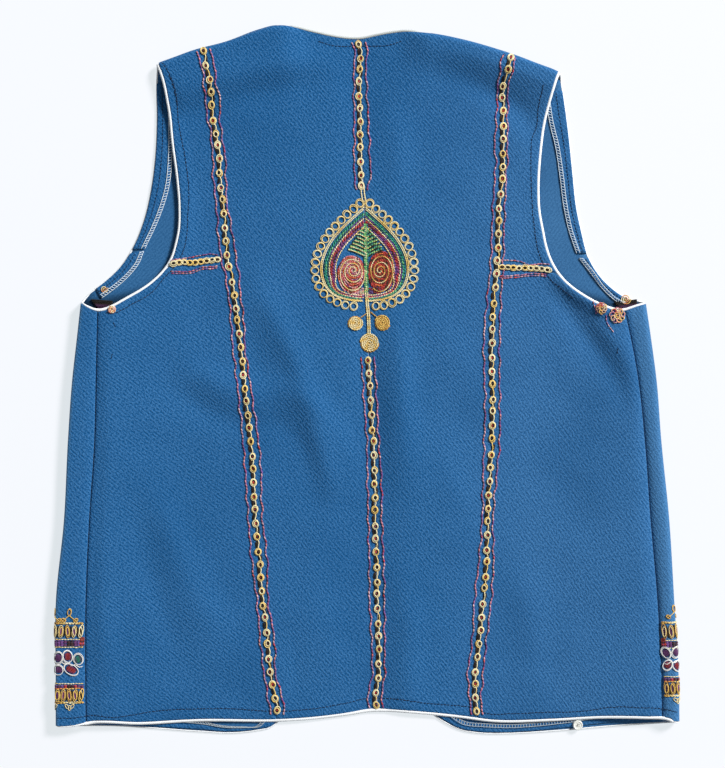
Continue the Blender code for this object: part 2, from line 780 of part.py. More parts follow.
def cord_line(runs, side_sign, closed=False):
    """The path of a cord beside a run of cloth edges, each given as edge points, normals and cord radii.

    The cord's middle lies at half the wall's depth, moved out from the edge by its radius and the seam gap,
    and further at a corner by one over the cosine of half its turn."""
    edges = np.concatenate([run[0] for run in runs])
    normals = np.concatenate([run[1] for run in runs])
    radii = np.concatenate([np.broadcast_to(run[2], len(run[0])) for run in runs])
    keep = np.append(True, np.linalg.norm(np.diff(edges, axis=0), axis=1) > CORD_STEP)
    if closed:
        keep[-1] = np.linalg.norm(edges[-1] - edges[0]) > CORD_STEP
    edges, normals, radii = edges[keep], normals[keep], radii[keep]
    ahead = np.roll(edges, -1, axis=0) - edges
    if not closed:
        ahead[-1] = ahead[-2]
    ahead /= np.linalg.norm(ahead, axis=1)[:, None]
    behind = np.roll(ahead, 1, axis=0)
    if not closed:
        behind[0] = ahead[0]
    tangent = ahead + behind
    tangent /= np.linalg.norm(tangent, axis=1)[:, None]
    away = np.cross(tangent, normals) * side_sign
    away /= np.linalg.norm(away, axis=1)[:, None]
    reach = (radii + SEAM_GAP) / np.maximum(MITRE_LIMIT, np.sum(ahead * tangent, axis=1))
    line = edges - normals * CLOTH / 2 + away * reach[:, None]
    line[:, 2] = np.maximum(line[:, 2], radii + FLOOR_GAP)
    return line, radii


# ---------------------------------------------------------------- the vest
for old in list(bpy.data.objects):
    bpy.data.objects.remove(old)
vest = bpy.data.collections.new("folk_vest")
bpy.context.scene.collection.children.link(vest)


def back_hem(x):
    """The back's cloth edge along the hem."""
    return hem_piping_line(x) + PIPING_RADIUS + SEAM_GAP


def princess(side, offset):
    """A princess seam's line, moved by offset away from the centre."""
    return lambda y: seam_of[side](y) - INWARD[side] * offset


def side_line(side, offset):
    """A side seam's line, moved by offset towards the centre."""
    return lambda y: side_seam_of[side](y) + INWARD[side] * offset


def level_line(side, offset):
    """A short level seam's line, moved by offset towards the shoulder."""
    row = LEVELS[side]
    return lambda x: row.y + row.slope * (x - row.x) + offset


panels = {}
centre_edges = {
    LEFT: (princess(LEFT, -HALF_GAP), lambda y: seam_of["centre"](y) - HALF_GAP),
    RIGHT: (lambda y: seam_of["centre"](y) + HALF_GAP, princess(RIGHT, -HALF_GAP)),
}
for side in (LEFT, RIGHT):
    # centre panel: its rows meet those of the side panel and the armhole panel along the princess seam
    level = level_line(side, 0.0)(LEVELS[side].x)
    bottom = back_hem(princess(side, 0.0)(SEAM_BOTTOM))
    upper = top_line(princess(side, 0.0)(SEAM_TOP)) - SHOULDER_RADIUS
    share = (level - bottom) / (upper - bottom)
    along = share * shares(LOWER_ROWS)
    along = np.append(along, share + (1.0 - share) * shares(YOKE_ROWS)[1:])
    panels["back_centre_" + side] = back_panel(*centre_edges[side], back_hem, (CENTRE_CELLS, along))

    # side panel: its top edge is the lower part of the armhole, a corner, then the level seam
    rim = back_rim(side)
    level = level_line(side, -HALF_GAP)
    corner = np.argmin(np.abs(rim[:, 1] - level(rim[:, 0])))
    inner_end = princess(side, 0.0)(level(LEVELS[side].x))
    side_top = np.vstack([rim[corner:], [[inner_end, level(inner_end)]]])
    outer_end = side_seam_of[side](rim[corner, 1])
    share = (rim[corner, 0] - outer_end) / (inner_end - outer_end)
    across = share * shares(ARMHOLE_CELLS)
    across = np.append(across, share + (1.0 - share) * shares(LEVEL_CELLS)[1:])
    edges = (side_line(side, HALF_GAP), princess(side, HALF_GAP))
    if side == RIGHT:
        edges = edges[::-1]
        across = 1.0 - across[::-1]
    panels["back_side_" + side] = back_panel(
        *edges, back_hem, (across, LOWER_ROWS), rim=lambda x: y_at(side_top, x)
    )

    # armhole panel: above the level seam
    edges = (lambda y: x_at(rim, y), princess(side, HALF_GAP))
    edges = edges if side == LEFT else edges[::-1]
    panels["back_yoke_" + side] = back_panel(*edges, level_line(side, HALF_GAP), (YOKE_CELLS, YOKE_ROWS))

for name, points in panels.items():
    cloth(name, [(points, False)], CLOTH, BLUE)

fronts = {side: front_panel(side) for side in (LEFT, RIGHT)}
for side, (lower, upper, wrap) in fronts.items():
    mirrored = side == RIGHT
    cloth("front_" + side, [(lower, not mirrored), (upper, not mirrored), (wrap, mirrored)], CLOTH, BLUE)

# facings: a strip between its outer and inner edges, flat on the front's wrong side
for (side, half), rows in ARMHOLE_FACING_INNER.items():
    span = ARMHOLE_FACING_SPANS[side, half]
    outer = inset(path(FRONT_ARMHOLE[side]), INWARD[side] * FACING_SETBACK)
    outer = outer[(outer[:, 1] < span.start) & (outer[:, 1] > span.end)]
    outer = spaced(outer, FACING_CELLS[half])
    inner = spaced(rows, FACING_CELLS[half])
    strip = np.stack([outer, (outer + inner) / 2, inner], axis=1)
    points = grid(strip[..., 0], strip[..., 1], FACING_LIE)
    cloth("armhole_facing_" + side + "_" + half, [(points, side == LEFT)], FACING, BLUE)

for side in (LEFT, RIGHT):
    outer = spaced(HEM_FACING_OUTER[side], HEM_FACING_CELLS)
    inner = spaced(HEM_FACING_INNER[side], HEM_FACING_CELLS)
    strip = np.stack([outer, inner], axis=1)
    points = grid(strip[..., 0], strip[..., 1], FACING_LIE)
    cloth("hem_facing_" + side, [(points, True)], FACING, BLUE)

# piping: beside the cloth edges, on half the wall's depth
normals = {name: facing_out(points, 1.0) for name, points in panels.items()}
fold_radii = np.linspace(FLAT_PIPING_RADIUS, PIPING_RADIUS, FOLD_CELLS + 1)
wrap_radii = np.append(fold_radii, np.full(STRIP_CELLS, PIPING_RADIUS))
for side, (lower, upper, wrap) in fronts.items():
    rim_column = 0 if side == LEFT else -1
    yoke, yoke_normals = panels["back_yoke_" + side], normals["back_yoke_" + side]
    body, body_normals = panels["back_side_" + side], normals["back_side_" + side]
    below = slice(ARMHOLE_CELLS, None, -1) if side == LEFT else slice(LEVEL_CELLS, None)
    wrap_normals = facing_out(wrap, INWARD[side])
    upper_normals = facing_out(upper, -INWARD[side])
    upper_radii = np.full(len(upper), FLAT_PIPING_RADIUS)
    upper_radii[-TURN_CELLS - 1 :] = np.linspace(FLAT_PIPING_RADIUS, PIPING_RADIUS, TURN_CELLS + 2)[1:]
    line, radii = cord_line(
        [
            (yoke[::-1, rim_column], yoke_normals[::-1, rim_column], PIPING_RADIUS),
            (body[-1, below], body_normals[-1, below], PIPING_RADIUS),
            (wrap[-1, ::-1], wrap_normals[-1, ::-1], wrap_radii[::-1]),
            (upper[:, 0], upper_normals[:, 0], upper_radii),
        ],
        INWARD[side],
        closed=True,
    )
    cord("piping_armhole_" + side, line, radii, WHITE, closed=True)

hem_runs = []
lower, upper, wrap = fronts[LEFT]
lower_normals, wrap_normals = facing_out(lower, -1.0), facing_out(wrap, 1.0)
hem_runs.append((lower[1:2, -1], lower_normals[1:2, -1], FLAT_PIPING_RADIUS))
hem_runs.append((lower[0, ::-1], lower_normals[0, ::-1], FLAT_PIPING_RADIUS))
hem_runs.append((wrap[0], wrap_normals[0], wrap_radii))
for name in ("back_side_left", "back_centre_left", "back_centre_right", "back_side_right"):
    hem_runs.append((panels[name][0], normals[name][0], PIPING_RADIUS))
lower, upper, wrap = fronts[RIGHT]
lower_normals, wrap_normals = facing_out(lower, 1.0), facing_out(wrap, -1.0)
hem_runs.append((wrap[0, ::-1], wrap_normals[0, ::-1], wrap_radii[::-1]))
hem_runs.append((lower[0], lower_normals[0], FLAT_PIPING_RADIUS))
hem_runs.append((lower[1:2, -1], lower_normals[1:2, -1], FLAT_PIPING_RADIUS))
cord("piping_hem", *cord_line(hem_runs, 1.0), WHITE)

neck_runs = []
for name in ("back_centre_left", "back_centre_right"):
    top_row = panels[name][-1]
    free = (top_row[:, 0] > NECK_PIPING_FROM) & (top_row[:, 0] < NECK_PIPING_TO)
    neck_runs.append((top_row[free], normals[name][-1][free], NECK_PIPING_RADIUS))
cord("piping_neck", *cord_line(neck_runs, -1.0), WHITE)

# button: a turned profile with a raised rim and a shallow well, standing on the hem facing
BUTTON_PROFILE = (
    (0.00, 1.6),
    (0.58, 1.7),
    (0.82, 2.0),
    (1.00, 1.3),
    (1.00, 0.7),
    (0.80, 0.0),
    (0.00, 0.0),
)
mesh = bpy.data.meshes.new("button")
profile = [(share * BUTTON_RADIUS * MM, 0.0, height * MM) for share, height in BUTTON_PROFILE]
mesh.from_pydata(profile, [(i, i + 1) for i in range(len(profile) - 1)], [])
button = add_object("button", mesh, PEARL, 0.25)
button.location = place((*BUTTON_AT, FACING_LIE + SEAM_GAP))
lathe = button.modifiers.new("lathe", "SCREW")
lathe.steps = BUTTON_STEPS
lathe.render_steps = BUTTON_STEPS
lathe.use_merge_vertices = True
lathe.merge_threshold = 0.00001
mesh.shade_smooth()
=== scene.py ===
"""Dresses an embroidered folk vest that lies flat with its back up: cloth, piping, thread and button."""

import math
from functools import lru_cache, partial

import bmesh
import bpy
import numpy as np
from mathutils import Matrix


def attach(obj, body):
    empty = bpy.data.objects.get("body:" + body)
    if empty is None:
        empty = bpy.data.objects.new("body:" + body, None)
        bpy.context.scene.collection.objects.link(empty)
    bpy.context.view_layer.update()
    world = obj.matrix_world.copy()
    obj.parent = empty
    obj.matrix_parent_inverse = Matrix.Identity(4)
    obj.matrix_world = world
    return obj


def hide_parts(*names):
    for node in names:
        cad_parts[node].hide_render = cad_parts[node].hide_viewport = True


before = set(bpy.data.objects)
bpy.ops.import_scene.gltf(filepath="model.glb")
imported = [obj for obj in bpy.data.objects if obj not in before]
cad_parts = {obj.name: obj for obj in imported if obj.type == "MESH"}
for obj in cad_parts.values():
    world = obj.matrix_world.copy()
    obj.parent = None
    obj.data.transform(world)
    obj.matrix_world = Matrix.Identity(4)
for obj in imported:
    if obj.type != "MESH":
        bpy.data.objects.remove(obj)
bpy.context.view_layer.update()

bl_info = {
    "name": "Folk Vest",
    "version": (1, 0, 0),
    "blender": (4, 5, 0),
    "location": "3D View > Sidebar > Vest",
    "description": "Cloth, piping, embroidery and sewing of a folk vest laid flat",
    "category": "Object",
}

# ---------------------------------------------------------------- the vest's main form, in millimetres
# x runs to the right and y towards the neck; the middle of the laid vest is taken off when a mesh is made.
MM = 0.001
MIDDLE = np.array([-0.47, -1.25, 0.0])
UP = np.array([0.0, 0.0, 1.0])
LEFT, RIGHT = "left", "right"
INWARD = {LEFT: 1.0, RIGHT: -1.0}      # direction of x from a side fold towards the middle

SEAM_GAP = 0.3              # between pieces that are sewn together
FOLD_RADIUS = 5.5           # outer radius of the side folds
SHOULDER_RADIUS = 5.0       # and of the folds along the shoulders
BACK_LIE = 4.8              # height of the back's outer face on the fronts
FACING_LIE = 2.8            # height of the facings' upper face
FACING_SETBACK = 0.9        # facings start this far inside the armhole's finished edge
GAP_SAG, FULL_SAG_WIDTH = 2.0, 50.0    # the back sinks between the parted fronts
CENTRE_SAG, CENTRE_SAG_WIDTH = 0.8, 14.0
FLOOR_GAP = 0.15            # pressed piping stays this far above the ground
CALM = 10.0                 # no fine creases this near a fold
LEAST_RIPPLE = 0.25         # share of the ripples that is left on the folds
FARTHEST_OVER = 0.97        # the outer face is followed down round a fold as far as this share of its radius
LIFT_START = 20.0           # the fronts may stand off the ground from this far inside their outer edges
EDGE_CELLS = (0.4, 1.0, 1.8)           # where the narrow cells along a cut edge end
TURN_STEPS = 8              # steps round half of the shoulder fold
SETTLING = 40               # rounds in which x and y of a grid settle
# power of a side fold's outline: 2 is a circle, more is pressed flatter
FOLD_SHAPE = {LEFT: 4.6, RIGHT: 2.1}
# middle of the neck edge; how far to both sides it lies free, and how far out it is turned over in full
NECK_MIDDLE, NECK_FREE, NECK_TURN = -11.0, 35.0, 65.0
NECK_PIPING = (-68.0, 46.0)            # x of both ends
BUTTON_AT = (178.8, -295.7)
HEM_HEIGHT = -295.0         # y of the hem at the side folds

# y; x of the fold's outermost line; x of the side seam; how far in the fold's roll reaches
SIDES = {
    LEFT: (
        (-297, -264.6, -238.8, 110), (-257, -264.6, -239.3, 110), (-189, -264.4, -239, 110),
        (-121, -257.6, -236, 110), (-53, -254.2, -231.6, 110), (-2, -250.6, -230.4, 110),
        (32, -246.8, -229.6, 110), (70, -242.6, -228.8, 105),
    ),
    RIGHT: (
        (-297, 265, 249.8, 110), (-257, 264.4, 249.6, 110), (-189, 260.5, 246, 110),
        (-121, 256.3, 240.2, 110), (-53, 249.5, 235.2, 105), (-2, 245.5, 229.6, 100), (32, 241, 223.6, 92),
        (70, 235.4, 214.6, 88),
    ),
}
# y; x of the left, centre and right embroidered seams
SEAMS = (
    (-300, -76.5, 8, 93.2), (-240, -83.6, 9.2, 93.2), (-180, -90, 7.9, 99), (-120, -95.3, 6.4, 102),
    (-60, -98.8, 5, 105.5), (0, -105.8, 1.3, 106.7), (50, -111, 0.4, 106.3), (100, -117.5, -0.9, 110),
    (150, -123, -2.6, 113), (200, -128.4, -5.5, 115.2), (250, -133, -6.4, 116), (290, -141, -8, 128),
)
# x and y of the shoulder and neck line; how far down the back the shoulder's roll reaches
TOPS = (
    (-182, 264.8, 75), (-170, 269.8, 75), (-151, 277, 75), (-117, 286.2, 75), (-90, 295.9, 74),
    (-76, 299.3, 70), (-49, 293.7, 62), (-23, 288.6, 54), (-6, 287.7, 48), (11, 291, 44), (28, 293.4, 42),
    (45, 293.3, 40), (79, 287.6, 40), (113, 277.8, 40), (147, 265.6, 40), (168, 256.5, 40),
)
# x and y of the middle of the back's hem piping
BACK_HEM = (
    (-266, -296.5), (-250, -296.1), (-238, -293.3), (-192, -293.9), (-142, -291.6), (-77, -291.8),
    (-50, -290.3), (-15, -286.3), (3, -283.5), (17, -283.5), (50, -285.6), (83, -289.1), (105, -292),
    (155, -291.4), (203, -288.6), (237, -288.6), (252, -289.1), (260, -290.7), (266, -293),
)
# x and y of each front's finished hem
FRONT_HEM = {
    LEFT: (
        (-266, -297.4), (-211, -297.4), (-185, -299.1), (-141, -302.2), (-114, -303.4), (-93, -301.1),
        (-82, -298.6), (-76, -294),
    ),
    RIGHT: (
        (50, -282.2), (56, -287.7), (67, -294.9), (77, -300), (94, -303.4), (115, -304), (147, -302.5),
        (169, -300.9), (203, -297.9), (243, -295.2), (266, -293.8),
    ),
}
# y; x of each front's open edge
OPENINGS = (
    (-310, -76, 66), (-293, -76, 57), (-281, -74, 50), (-250, -70, 43), (-100, -40, 30), (50, -14, 10),
    (150, -9, 5), (210, -22, 18), (260, -52, 40), (300, -77, 56),
)
# x and y of the armhole piping's middle on the back, from the shoulder round to the side fold
BACK_ARMHOLE = {
    LEFT: (
        (-179, 268), (-177.2, 263.1), (-173.8, 252.9), (-168.7, 227.4), (-165.6, 197.6), (-162.2, 172.1),
        (-160, 142.4), (-160.6, 125.4), (-163.3, 112.6), (-166.6, 101.6), (-170.4, 95), (-182.3, 82),
        (-206.1, 66.7), (-220.6, 59.1), (-228.6, 56.8), (-236, 59.9), (-244.5, 64.4),
    ),
    RIGHT: (
        (164.6, 262), (162.8, 258.8), (157.7, 244.4), (153.4, 229.1), (150, 213.8), (147.5, 193.4),
        (145.5, 162), (146.2, 142.4), (149.2, 125.4), (152.8, 108.4), (159.4, 93.1), (167.9, 82),
        (180.6, 71.8), (196.8, 62.7), (208.8, 58.4), (216.3, 57.2), (224.2, 60), (236.5, 64.2),
    ),
}
# x and y of each front's finished armhole edge
FRONT_ARMHOLE = {
    LEFT: (
        (-179.2, 268), (-180.2, 252), (-179.8, 218.9), (-181.5, 184.9), (-184.9, 159.4), (-190.8, 133.9),
        (-199.3, 112.6), (-208.7, 97.3), (-227.4, 79.5), (-238.5, 71.8),
    ),
    RIGHT: (
        (164.4, 262), (166.2, 248), (168.6, 231.6), (171.9, 206.1), (175.4, 172.1), (178.1, 146.6),
        (182.8, 123.7), (189, 101.6), (199.3, 85.4), (214.6, 71.8), (220.5, 68.2), (231, 66),
    ),
}
# y where the side fold starts, and at its outermost line
UNDERARM = {LEFT: (69.5, 62.8), RIGHT: (64.2, 62.4)}
# painted shade on the inside close under the back's armhole edges: how dark, how far in, and how much farther
# at their feet
POCKET_SHADE = {LEFT: (0.92, 5, 17), RIGHT: (0.75, 5, 9)}
POCKET_SHADE_RISE = 17.0          # height of these feet above the underarm
# painted light at the side folds: how much paler the cloth is made, over what width, and over what width this
# fades
FOLD_LIGHT = {LEFT: (0.60, 3.2, 2.6), RIGHT: (0.20, 15.4, 2.4)}
# level seams: an x, the y there and the slope
LEVELS = {LEFT: (-118, 101.6, 0.118), RIGHT: (110, 93.6, -0.090)}
# x and y of the armhole facings' overlocked inner edges, and y where each starts and ends
ARMHOLE_FACINGS = {
    (LEFT, "upper"): (
        ((-168, 250), (-166.6, 226), (-166.2, 193.4), (-169.6, 159.4), (-178.1, 133.9), (-189.8, 109)),
        (252, 108.6),
    ),
    (LEFT, "lower"): (
        ((-190.4, 107.5), (-194.6, 97), (-201, 88.6), (-213.6, 76.8), (-227, 67)),
        (107.2, 74.5),
    ),
    (RIGHT, "upper"): (
        (
            (151, 243), (155, 217), (160.2, 195.1), (163.6, 172.1), (167.5, 142.4), (171.3, 125.4),
            (178, 105.5),
        ),
        (246, 104.5),
    ),
    (RIGHT, "lower"): (
        ((180, 101.6), (189.1, 89.7), (201, 74.4), (212.9, 64.2), (222, 60.5)),
        (102.4, 68.4),
    ),
}
# x and y of the hem facings' outer and inner edges
HEM_FACINGS = {
    LEFT: (
        (
            (-232, -295.4), (-185, -296.9), (-141, -299.5), (-114, -301.2), (-93, -298.9), (-82.5, -296.4),
            (-77.2, -291.8), (-75.5, -282),
        ),
        (
            (-232, -287.4), (-185, -289.2), (-141, -292.8), (-124, -296.2), (-105, -297.2), (-95, -297),
            (-90.5, -293), (-89.5, -282),
        ),
    ),
    RIGHT: (
        (
            (51.5, -280.6), (57.2, -285.8), (67.4, -292.7), (77.3, -297.8), (94, -301.2), (115, -301.8),
            (147, -300.1), (169, -297.8), (203, -294), (238, -291.3),
        ),
        (
            (57, -275), (62, -279.8), (70, -284.6), (83, -292.8), (99, -294.5), (120, -295.4), (155, -292.8),
            (171, -290.8), (203, -286), (238, -284),
        ),
    ),
}
# soft creases of the back: x, y, rise and half width along each crest; a minus rise is a trough
CREASES = (
    ((-106, 96, 0.3, 15), (-84, 60, 1.7, 15), (-61, 16, 2.2, 15), (-42, -50, 2.3, 14), (-30, -112, 0.5, 14)),
    ((-176, 10, 0.3, 14), (-146, -2, 1.5, 13), (-108, -17, 1.8, 13), (-66, -20, 0.8, 13)),
    ((-182, -84, 0.3, 17), (-168, -140, 1.4, 17), (-146, -205, 1.5, 18), (-132, -246, 0.3, 17)),
    ((168, 50, -0.5, 12), (180, 30, -1.2, 13), (194, 4, -1, 13), (200, -36, -0.2, 13)),
    ((30, -60, 0.4, 16), (56, -92, 1.3, 16), (70, -140, 0.8, 16)),
)
# finer ones, which run on up to the folds at the shoulders and sides
FINE_CREASES = (
    # under the shoulders
    ((-171, 237, 1, 12), (-154, 242, 1.9, 13), (-111, 257, 2.2, 13), (-59, 267, 1.6, 12),
     (-28, 271, 0.2, 10)),
    ((-165, 219, -1, 12), (-148, 224, -1.9, 13), (-105, 239, -2.2, 13), (-55, 249, -1.6, 12),
     (-26, 253, -0.2, 10)),
    ((-168, 252, 0, 4), (-165, 242, -0.9, 4), (-162, 230, -0.9, 4), (-161, 220, 0, 4)),
    ((52, 262, -0.5, 10), (78, 256, -1.3, 11), (106, 242, -2.4, 11), (130, 226, -2.4, 11),
     (142, 206, -1.2, 9), (144, 180, 0, 9)),
    ((60, 284, 0.3, 9), (100, 274, 0.9, 9), (136, 262, 1.2, 9), (154, 250, 0.6, 8)),
    # along the centre seam
    ((24, 232, 0, 11), (26, 205, 1.1, 11), (25, 172, 1.2, 11), (24, 140, 0.3, 11)),
    ((26, 62, 0, 12), (27, 30, 2, 12), (29, -20, 2.4, 12), (33, -70, 1.7, 14), (40, -110, 0.8, 16),
     (44, -150, 0.2, 14)),
    ((32, -170, 0.2, 12), (35, -215, 1.4, 13), (34, -262, 1.2, 13), (32, -282, 0.6, 12)),
    ((-3, 46, 0, 8), (3, 10, -0.9, 8), (7, -50, -0.8, 8), (9, -110, 0, 8)),
    ((62, -66, 0.4, 13), (76, -100, 1.1, 14), (86, -140, 0.5, 14)),
    # the slanting folds left of it
    ((-94, 73, 0.2, 11), (-76, 41, 1, 11), (-61, 9, 1, 10), (-49, -26, 0.8, 10), (-37, -72, 0.9, 10),
     (-28, -98, 0.2, 10)),
    ((-114, 53, -0.2, 10), (-98, 21, -0.7, 11), (-84, -13, -0.6, 11), (-72, -56, -0.5, 11),
     (-60, -102, -0.2, 11)),
    ((-166, 22, 0.2, 10), (-138, 4, 1.2, 11), (-108, -8, 1.3, 11), (-72, -10, 1.2, 10), (-42, -26, 1.4, 11),
     (-20, -60, 1.4, 12), (-12, -96, 0.3, 12)),
    ((-170, -4, -0.3, 10), (-136, -30, -1, 11), (-104, -42, -1, 10), (-70, -42, -1, 10),
     (-56, -56, -1.3, 11), (-44, -92, -0.9, 12), (-38, -120, 0, 12)),
    ((-184, -96, 0.1, 13), (-168, -130, 1, 12), (-152, -166, 0.9, 13), (-130, -206, 0.9, 14),
     (-120, -232, 0.1, 14)),
    ((-200, -120, -0.3, 12), (-188, -160, -0.9, 12), (-172, -204, -0.9, 13), (-164, -236, -0.2, 13)),
    ((-60, -160, 0, 14), (-40, -200, 0.8, 15), (-26, -244, 0.9, 15), (-22, -276, 0.4, 14)),
    ((-66, -204, 0, 9), (-62, -240, -0.6, 9), (-60, -276, -0.5, 9)),
    # beside the right seam and under the right arm
    ((126, -160, 0.1, 12), (136, -200, 0.9, 13), (140, -248, 0.7, 13), (140, -278, 0.2, 12)),
    ((191, 56, 0.5, 9), (204, 38, 1.6, 10), (216, 20, 1.7, 10), (225, -4, 1.2, 10), (229, -42, 0.2, 9)),
    ((158, 70, -0.6, 9), (176, 50, -2.1, 10), (194, 25, -2.3, 10), (209, 2, -1.5, 10), (220, -26, -0.4, 9)),
    # grooves of the side seams
    ((-226, 52, -0.8, 5), (-228, 10, -1.1, 5), (-229, -50, -1.3, 6), (-233, -130, -1.4, 6),
     (-236, -210, -1.6, 6), (-235, -292, -1.5, 6)),
    ((-218, -150, 0.1, 9), (-220, -230, 0.7, 9), (-213, -280, 0.9, 10)),
    ((224, 44, -0.8, 6), (230, 0, -1.2, 6), (240, -110, -1.6, 7), (246, -200, -1.7, 7), (249, -292, -1.6, 7)),
    # the cloth stands up a little along the armholes
    ((-170, 232, 0.2, 8), (-162, 185, 0.9, 9), (-154, 140, 1.2, 9), (-160, 105, 1.2, 9), (-182, 76, 1, 8),
     (-212, 58, 0.4, 8)),
    ((144, 172, 0, 8), (148, 120, 0.6, 8), (157, 92, 1.4, 8), (176, 72, 3.7, 7), (197, 60, 3.5, 7),
     (214, 52, 1, 8)),
    ((-182, -282, 0, 7), (-176, -288, -0.6, 7), (-168, -290, -0.4, 7)),
    ((40, 70, 0, 14), (66, 34, 0.7, 15), (92, -14, 0.4, 14)),
)
# soft troughs under the fronts, where the cloth stands a little off the ground: x, y, rise and half width
UNDER_CREASES = (
    ((-210, -40, 0, 12), (-180, -80, 0.7, 12), (-150, -130, 0.8, 13), (-130, -170, 0, 12)),
    ((-190, 60, 0, 9), (-150, 40, 0.6, 10), (-110, 30, 0.5, 10), (-70, 36, 0, 9)),
    ((-140, 190, 0, 10), (-110, 150, 0.5, 10), (-90, 100, 0.4, 10), (-80, 60, 0, 10)),
    ((-230, -190, 0, 10), (-190, -215, 0.6, 10), (-150, -225, 0.3, 10), (-120, -226, 0, 10)),
    ((200, -20, 0, 12), (170, -70, 0.8, 12), (140, -110, 0.6, 12), (118, -150, 0, 12)),
    ((190, 48, 0, 9), (150, 36, 0.5, 9), (110, 40, 0.4, 10), (70, 52, 0, 9)),
    ((130, 196, 0, 10), (104, 160, 0.6, 10), (84, 110, 0.3, 10), (74, 70, 0, 10)),
    ((220, -180, 0, 9), (180, -220, 0.5, 11), (130, -240, 0.5, 11), (90, -244, 0, 10)),
)
# ripples of pressed cloth: length, heading and rise
RIPPLES = ((61, 0.9, 0.11), (83, 2.2, 0.13), (47, 3.7, 0.07), (109, 5.1, 0.15), (38, 1.5, 0.05))

# ---------------------------------------------------------------- embroidery and sewing, in millimetres
# y; x of the left dashed line, of the rings and of the right dashed line, down each embroidered seam
SEAM_LINES = {
    LEFT: (
        (287, -147.5, -141.5, -135), (278, -144.9, -139, -133), (264, -140.7, -136.9, -129.6),
        (253, -139, -133.7, -128.8), (236, -137.7, -132.6, -125.4), (219, -135.6, -131.3, -125.4),
        (206, -133, -128.8, -123.7), (185, -131.3, -125.8, -120.7), (168, -130.9, -125.4, -120.3),
        (147, -128.4, -122.8, -119.4), (125, -127.1, -121.1, -115.2), (103, -124.5, -119.4, -111.8),
        (87, -120.9, -116, -109.2), (66, -117.7, -112.6, -107.5), (49, -116, -110.5, -105),
        (32, -115, -108.4, -104.6), (-19, -109, -103.3, -97.5), (-70, -104.6, -97.8, -91),
        (-121, -101.2, -95.2, -89.2), (-155, -98.4, -91.8, -85.2), (-189, -94, -89.3, -84.6),
        (-223, -91.2, -85, -79), (-257, -87, -82, -77.2), (-274, -84.2, -77.8, -71.6),
        (-287, -82, -76.9, -71.2),
    ),
    "upper": (
        (287, -12.8, -8.1, -0.8), (274, -10.9, -5.8, -0.6), (259, -11.5, -7, -1.2), (244, -11.5, -6.8, -0.4),
        (219, -11.2, -6.4, 0.8), (193, -11.3, -6, 1.8), (168, -10.6, -5.5, 2.1), (159, -8.8, -4.6, 0.2),
    ),
    "lower": (
        (19, -5.4, 0.2, 5.8), (-19, -3, 2.6, 7.9), (-53, -0.6, 4.7, 9.6), (-87, 0, 6, 11.8),
        (-121, 0.6, 6.4, 12.2), (-155, 1.5, 7.6, 13.6), (-189, 1.7, 8.1, 14.4), (-223, 3.6, 9.4, 14.6),
        (-257, 3.4, 9.2, 14.2), (-274, 0.2, 6.6, 12), (-283, 1.4, 8, 13.2),
    ),
    RIGHT: (
        (276, 116.2, 122.8, 126.8), (268, 113.5, 120.9, 125), (255, 111.6, 117, 121.3),
        (244, 110.5, 114.8, 119.2), (232, 110.1, 115.2, 119.4), (215, 109.2, 115.2, 118.9),
        (200, 108, 115.2, 118.8), (181, 109, 114.8, 118.6), (172, 108.4, 114.9, 117.9),
        (147, 106.7, 111.8, 116.9), (125, 105.8, 111.4, 116), (93, 104.4, 110.1, 115.2),
        (66, 101.6, 107.5, 113.5), (32, 98.9, 105.8, 112.3), (-19, 99.9, 106.3, 112.4),
        (-53, 99.2, 105.8, 112.4), (-87, 98.2, 103.7, 109.4), (-121, 97.4, 102, 106.6),
        (-155, 94.8, 101.2, 107.2), (-189, 91, 98.2, 105.2), (-223, 89, 95.2, 101.2),
        (-257, 85.2, 91.4, 97.8), (-274, 87.1, 91.8, 96.5), (-287, 88.2, 93.1, 98),
    ),
}
# x; y of the upper dashed line, of the rings and of the lower dashed line, along each level seam
LEVEL_LINES = {
    LEFT: (
        (-167, 99.3, 96, 90), (-159, 100.7, 97.9, 89.9), (-150, 101.9, 97.5, 90.2), (-140, 104, 98.5, 93.8),
        (-132, 105, 99.8, 94), (-125, 103.6, 100.8, 95.4),
    ),
    RIGHT: (
        (112, 99.6, 93.9, 86), (121, 99.6, 93.2, 86.2), (130, 98.4, 93, 87), (138, 95.6, 92.9, 88),
        (147, 96.6, 92.2, 88), (155, 95.8, 91.2, 86.8),
    ),
}
# x and y along the single lines of machine stitches that hold the facings
TOPSTITCHES = {
    "hem": (
        (-264, -288.6), (-250, -288.4), (-232, -286.6), (-216, -288.2), (-199, -286.4), (-185, -284),
        (-171, -282.6), (-142, -281.5), (-108, -281.8), (-87, -283.5), (-55, -282.6), (-15, -276.3),
        (-2, -273.3), (23, -273.3), (53, -277.1), (70, -278.4), (87, -280.1), (104, -286), (120, -285.8),
        (155, -284.3), (176, -283.9), (192, -282.2), (206, -279.7), (216, -279.2), (232, -279.8),
        (249, -280.7), (263, -283.5),
    ),
    "neck": (
        (-42, 286), (-36, 283.9), (-29, 282.2), (-13, 282), (0, 282), (15, 282.2), (22, 283.5), (28, 285.6),
        (32, 286.9),
    ),
    "left": (
        (-174.7, 267.3), (-171.3, 263.1), (-167.9, 257.1), (-164, 247), (-161.9, 238.9), (-161.1, 223.1),
        (-159.4, 210.4), (-156, 193.4), (-153.4, 176.4), (-151.7, 159.4), (-152.6, 138.1), (-153.4, 121.1),
        (-156, 108.4), (-164, 94), (-173.8, 82.9), (-180.6, 74.4), (-189.1, 67.6), (-197.6, 63.3),
        (-206.1, 58.2), (-214.6, 54.8), (-223.1, 54.8),
    ),
    "right": (
        (149.2, 248.6), (147.5, 240.1), (144.9, 227.4), (144.1, 214.6), (139.8, 202.7), (139, 189.1),
        (139, 172.1), (139.8, 150.9), (141.5, 129.6), (144.9, 108.4), (149, 97), (154.3, 84.6), (163.6, 76.1),
        (176.4, 65.9),
    ),
}
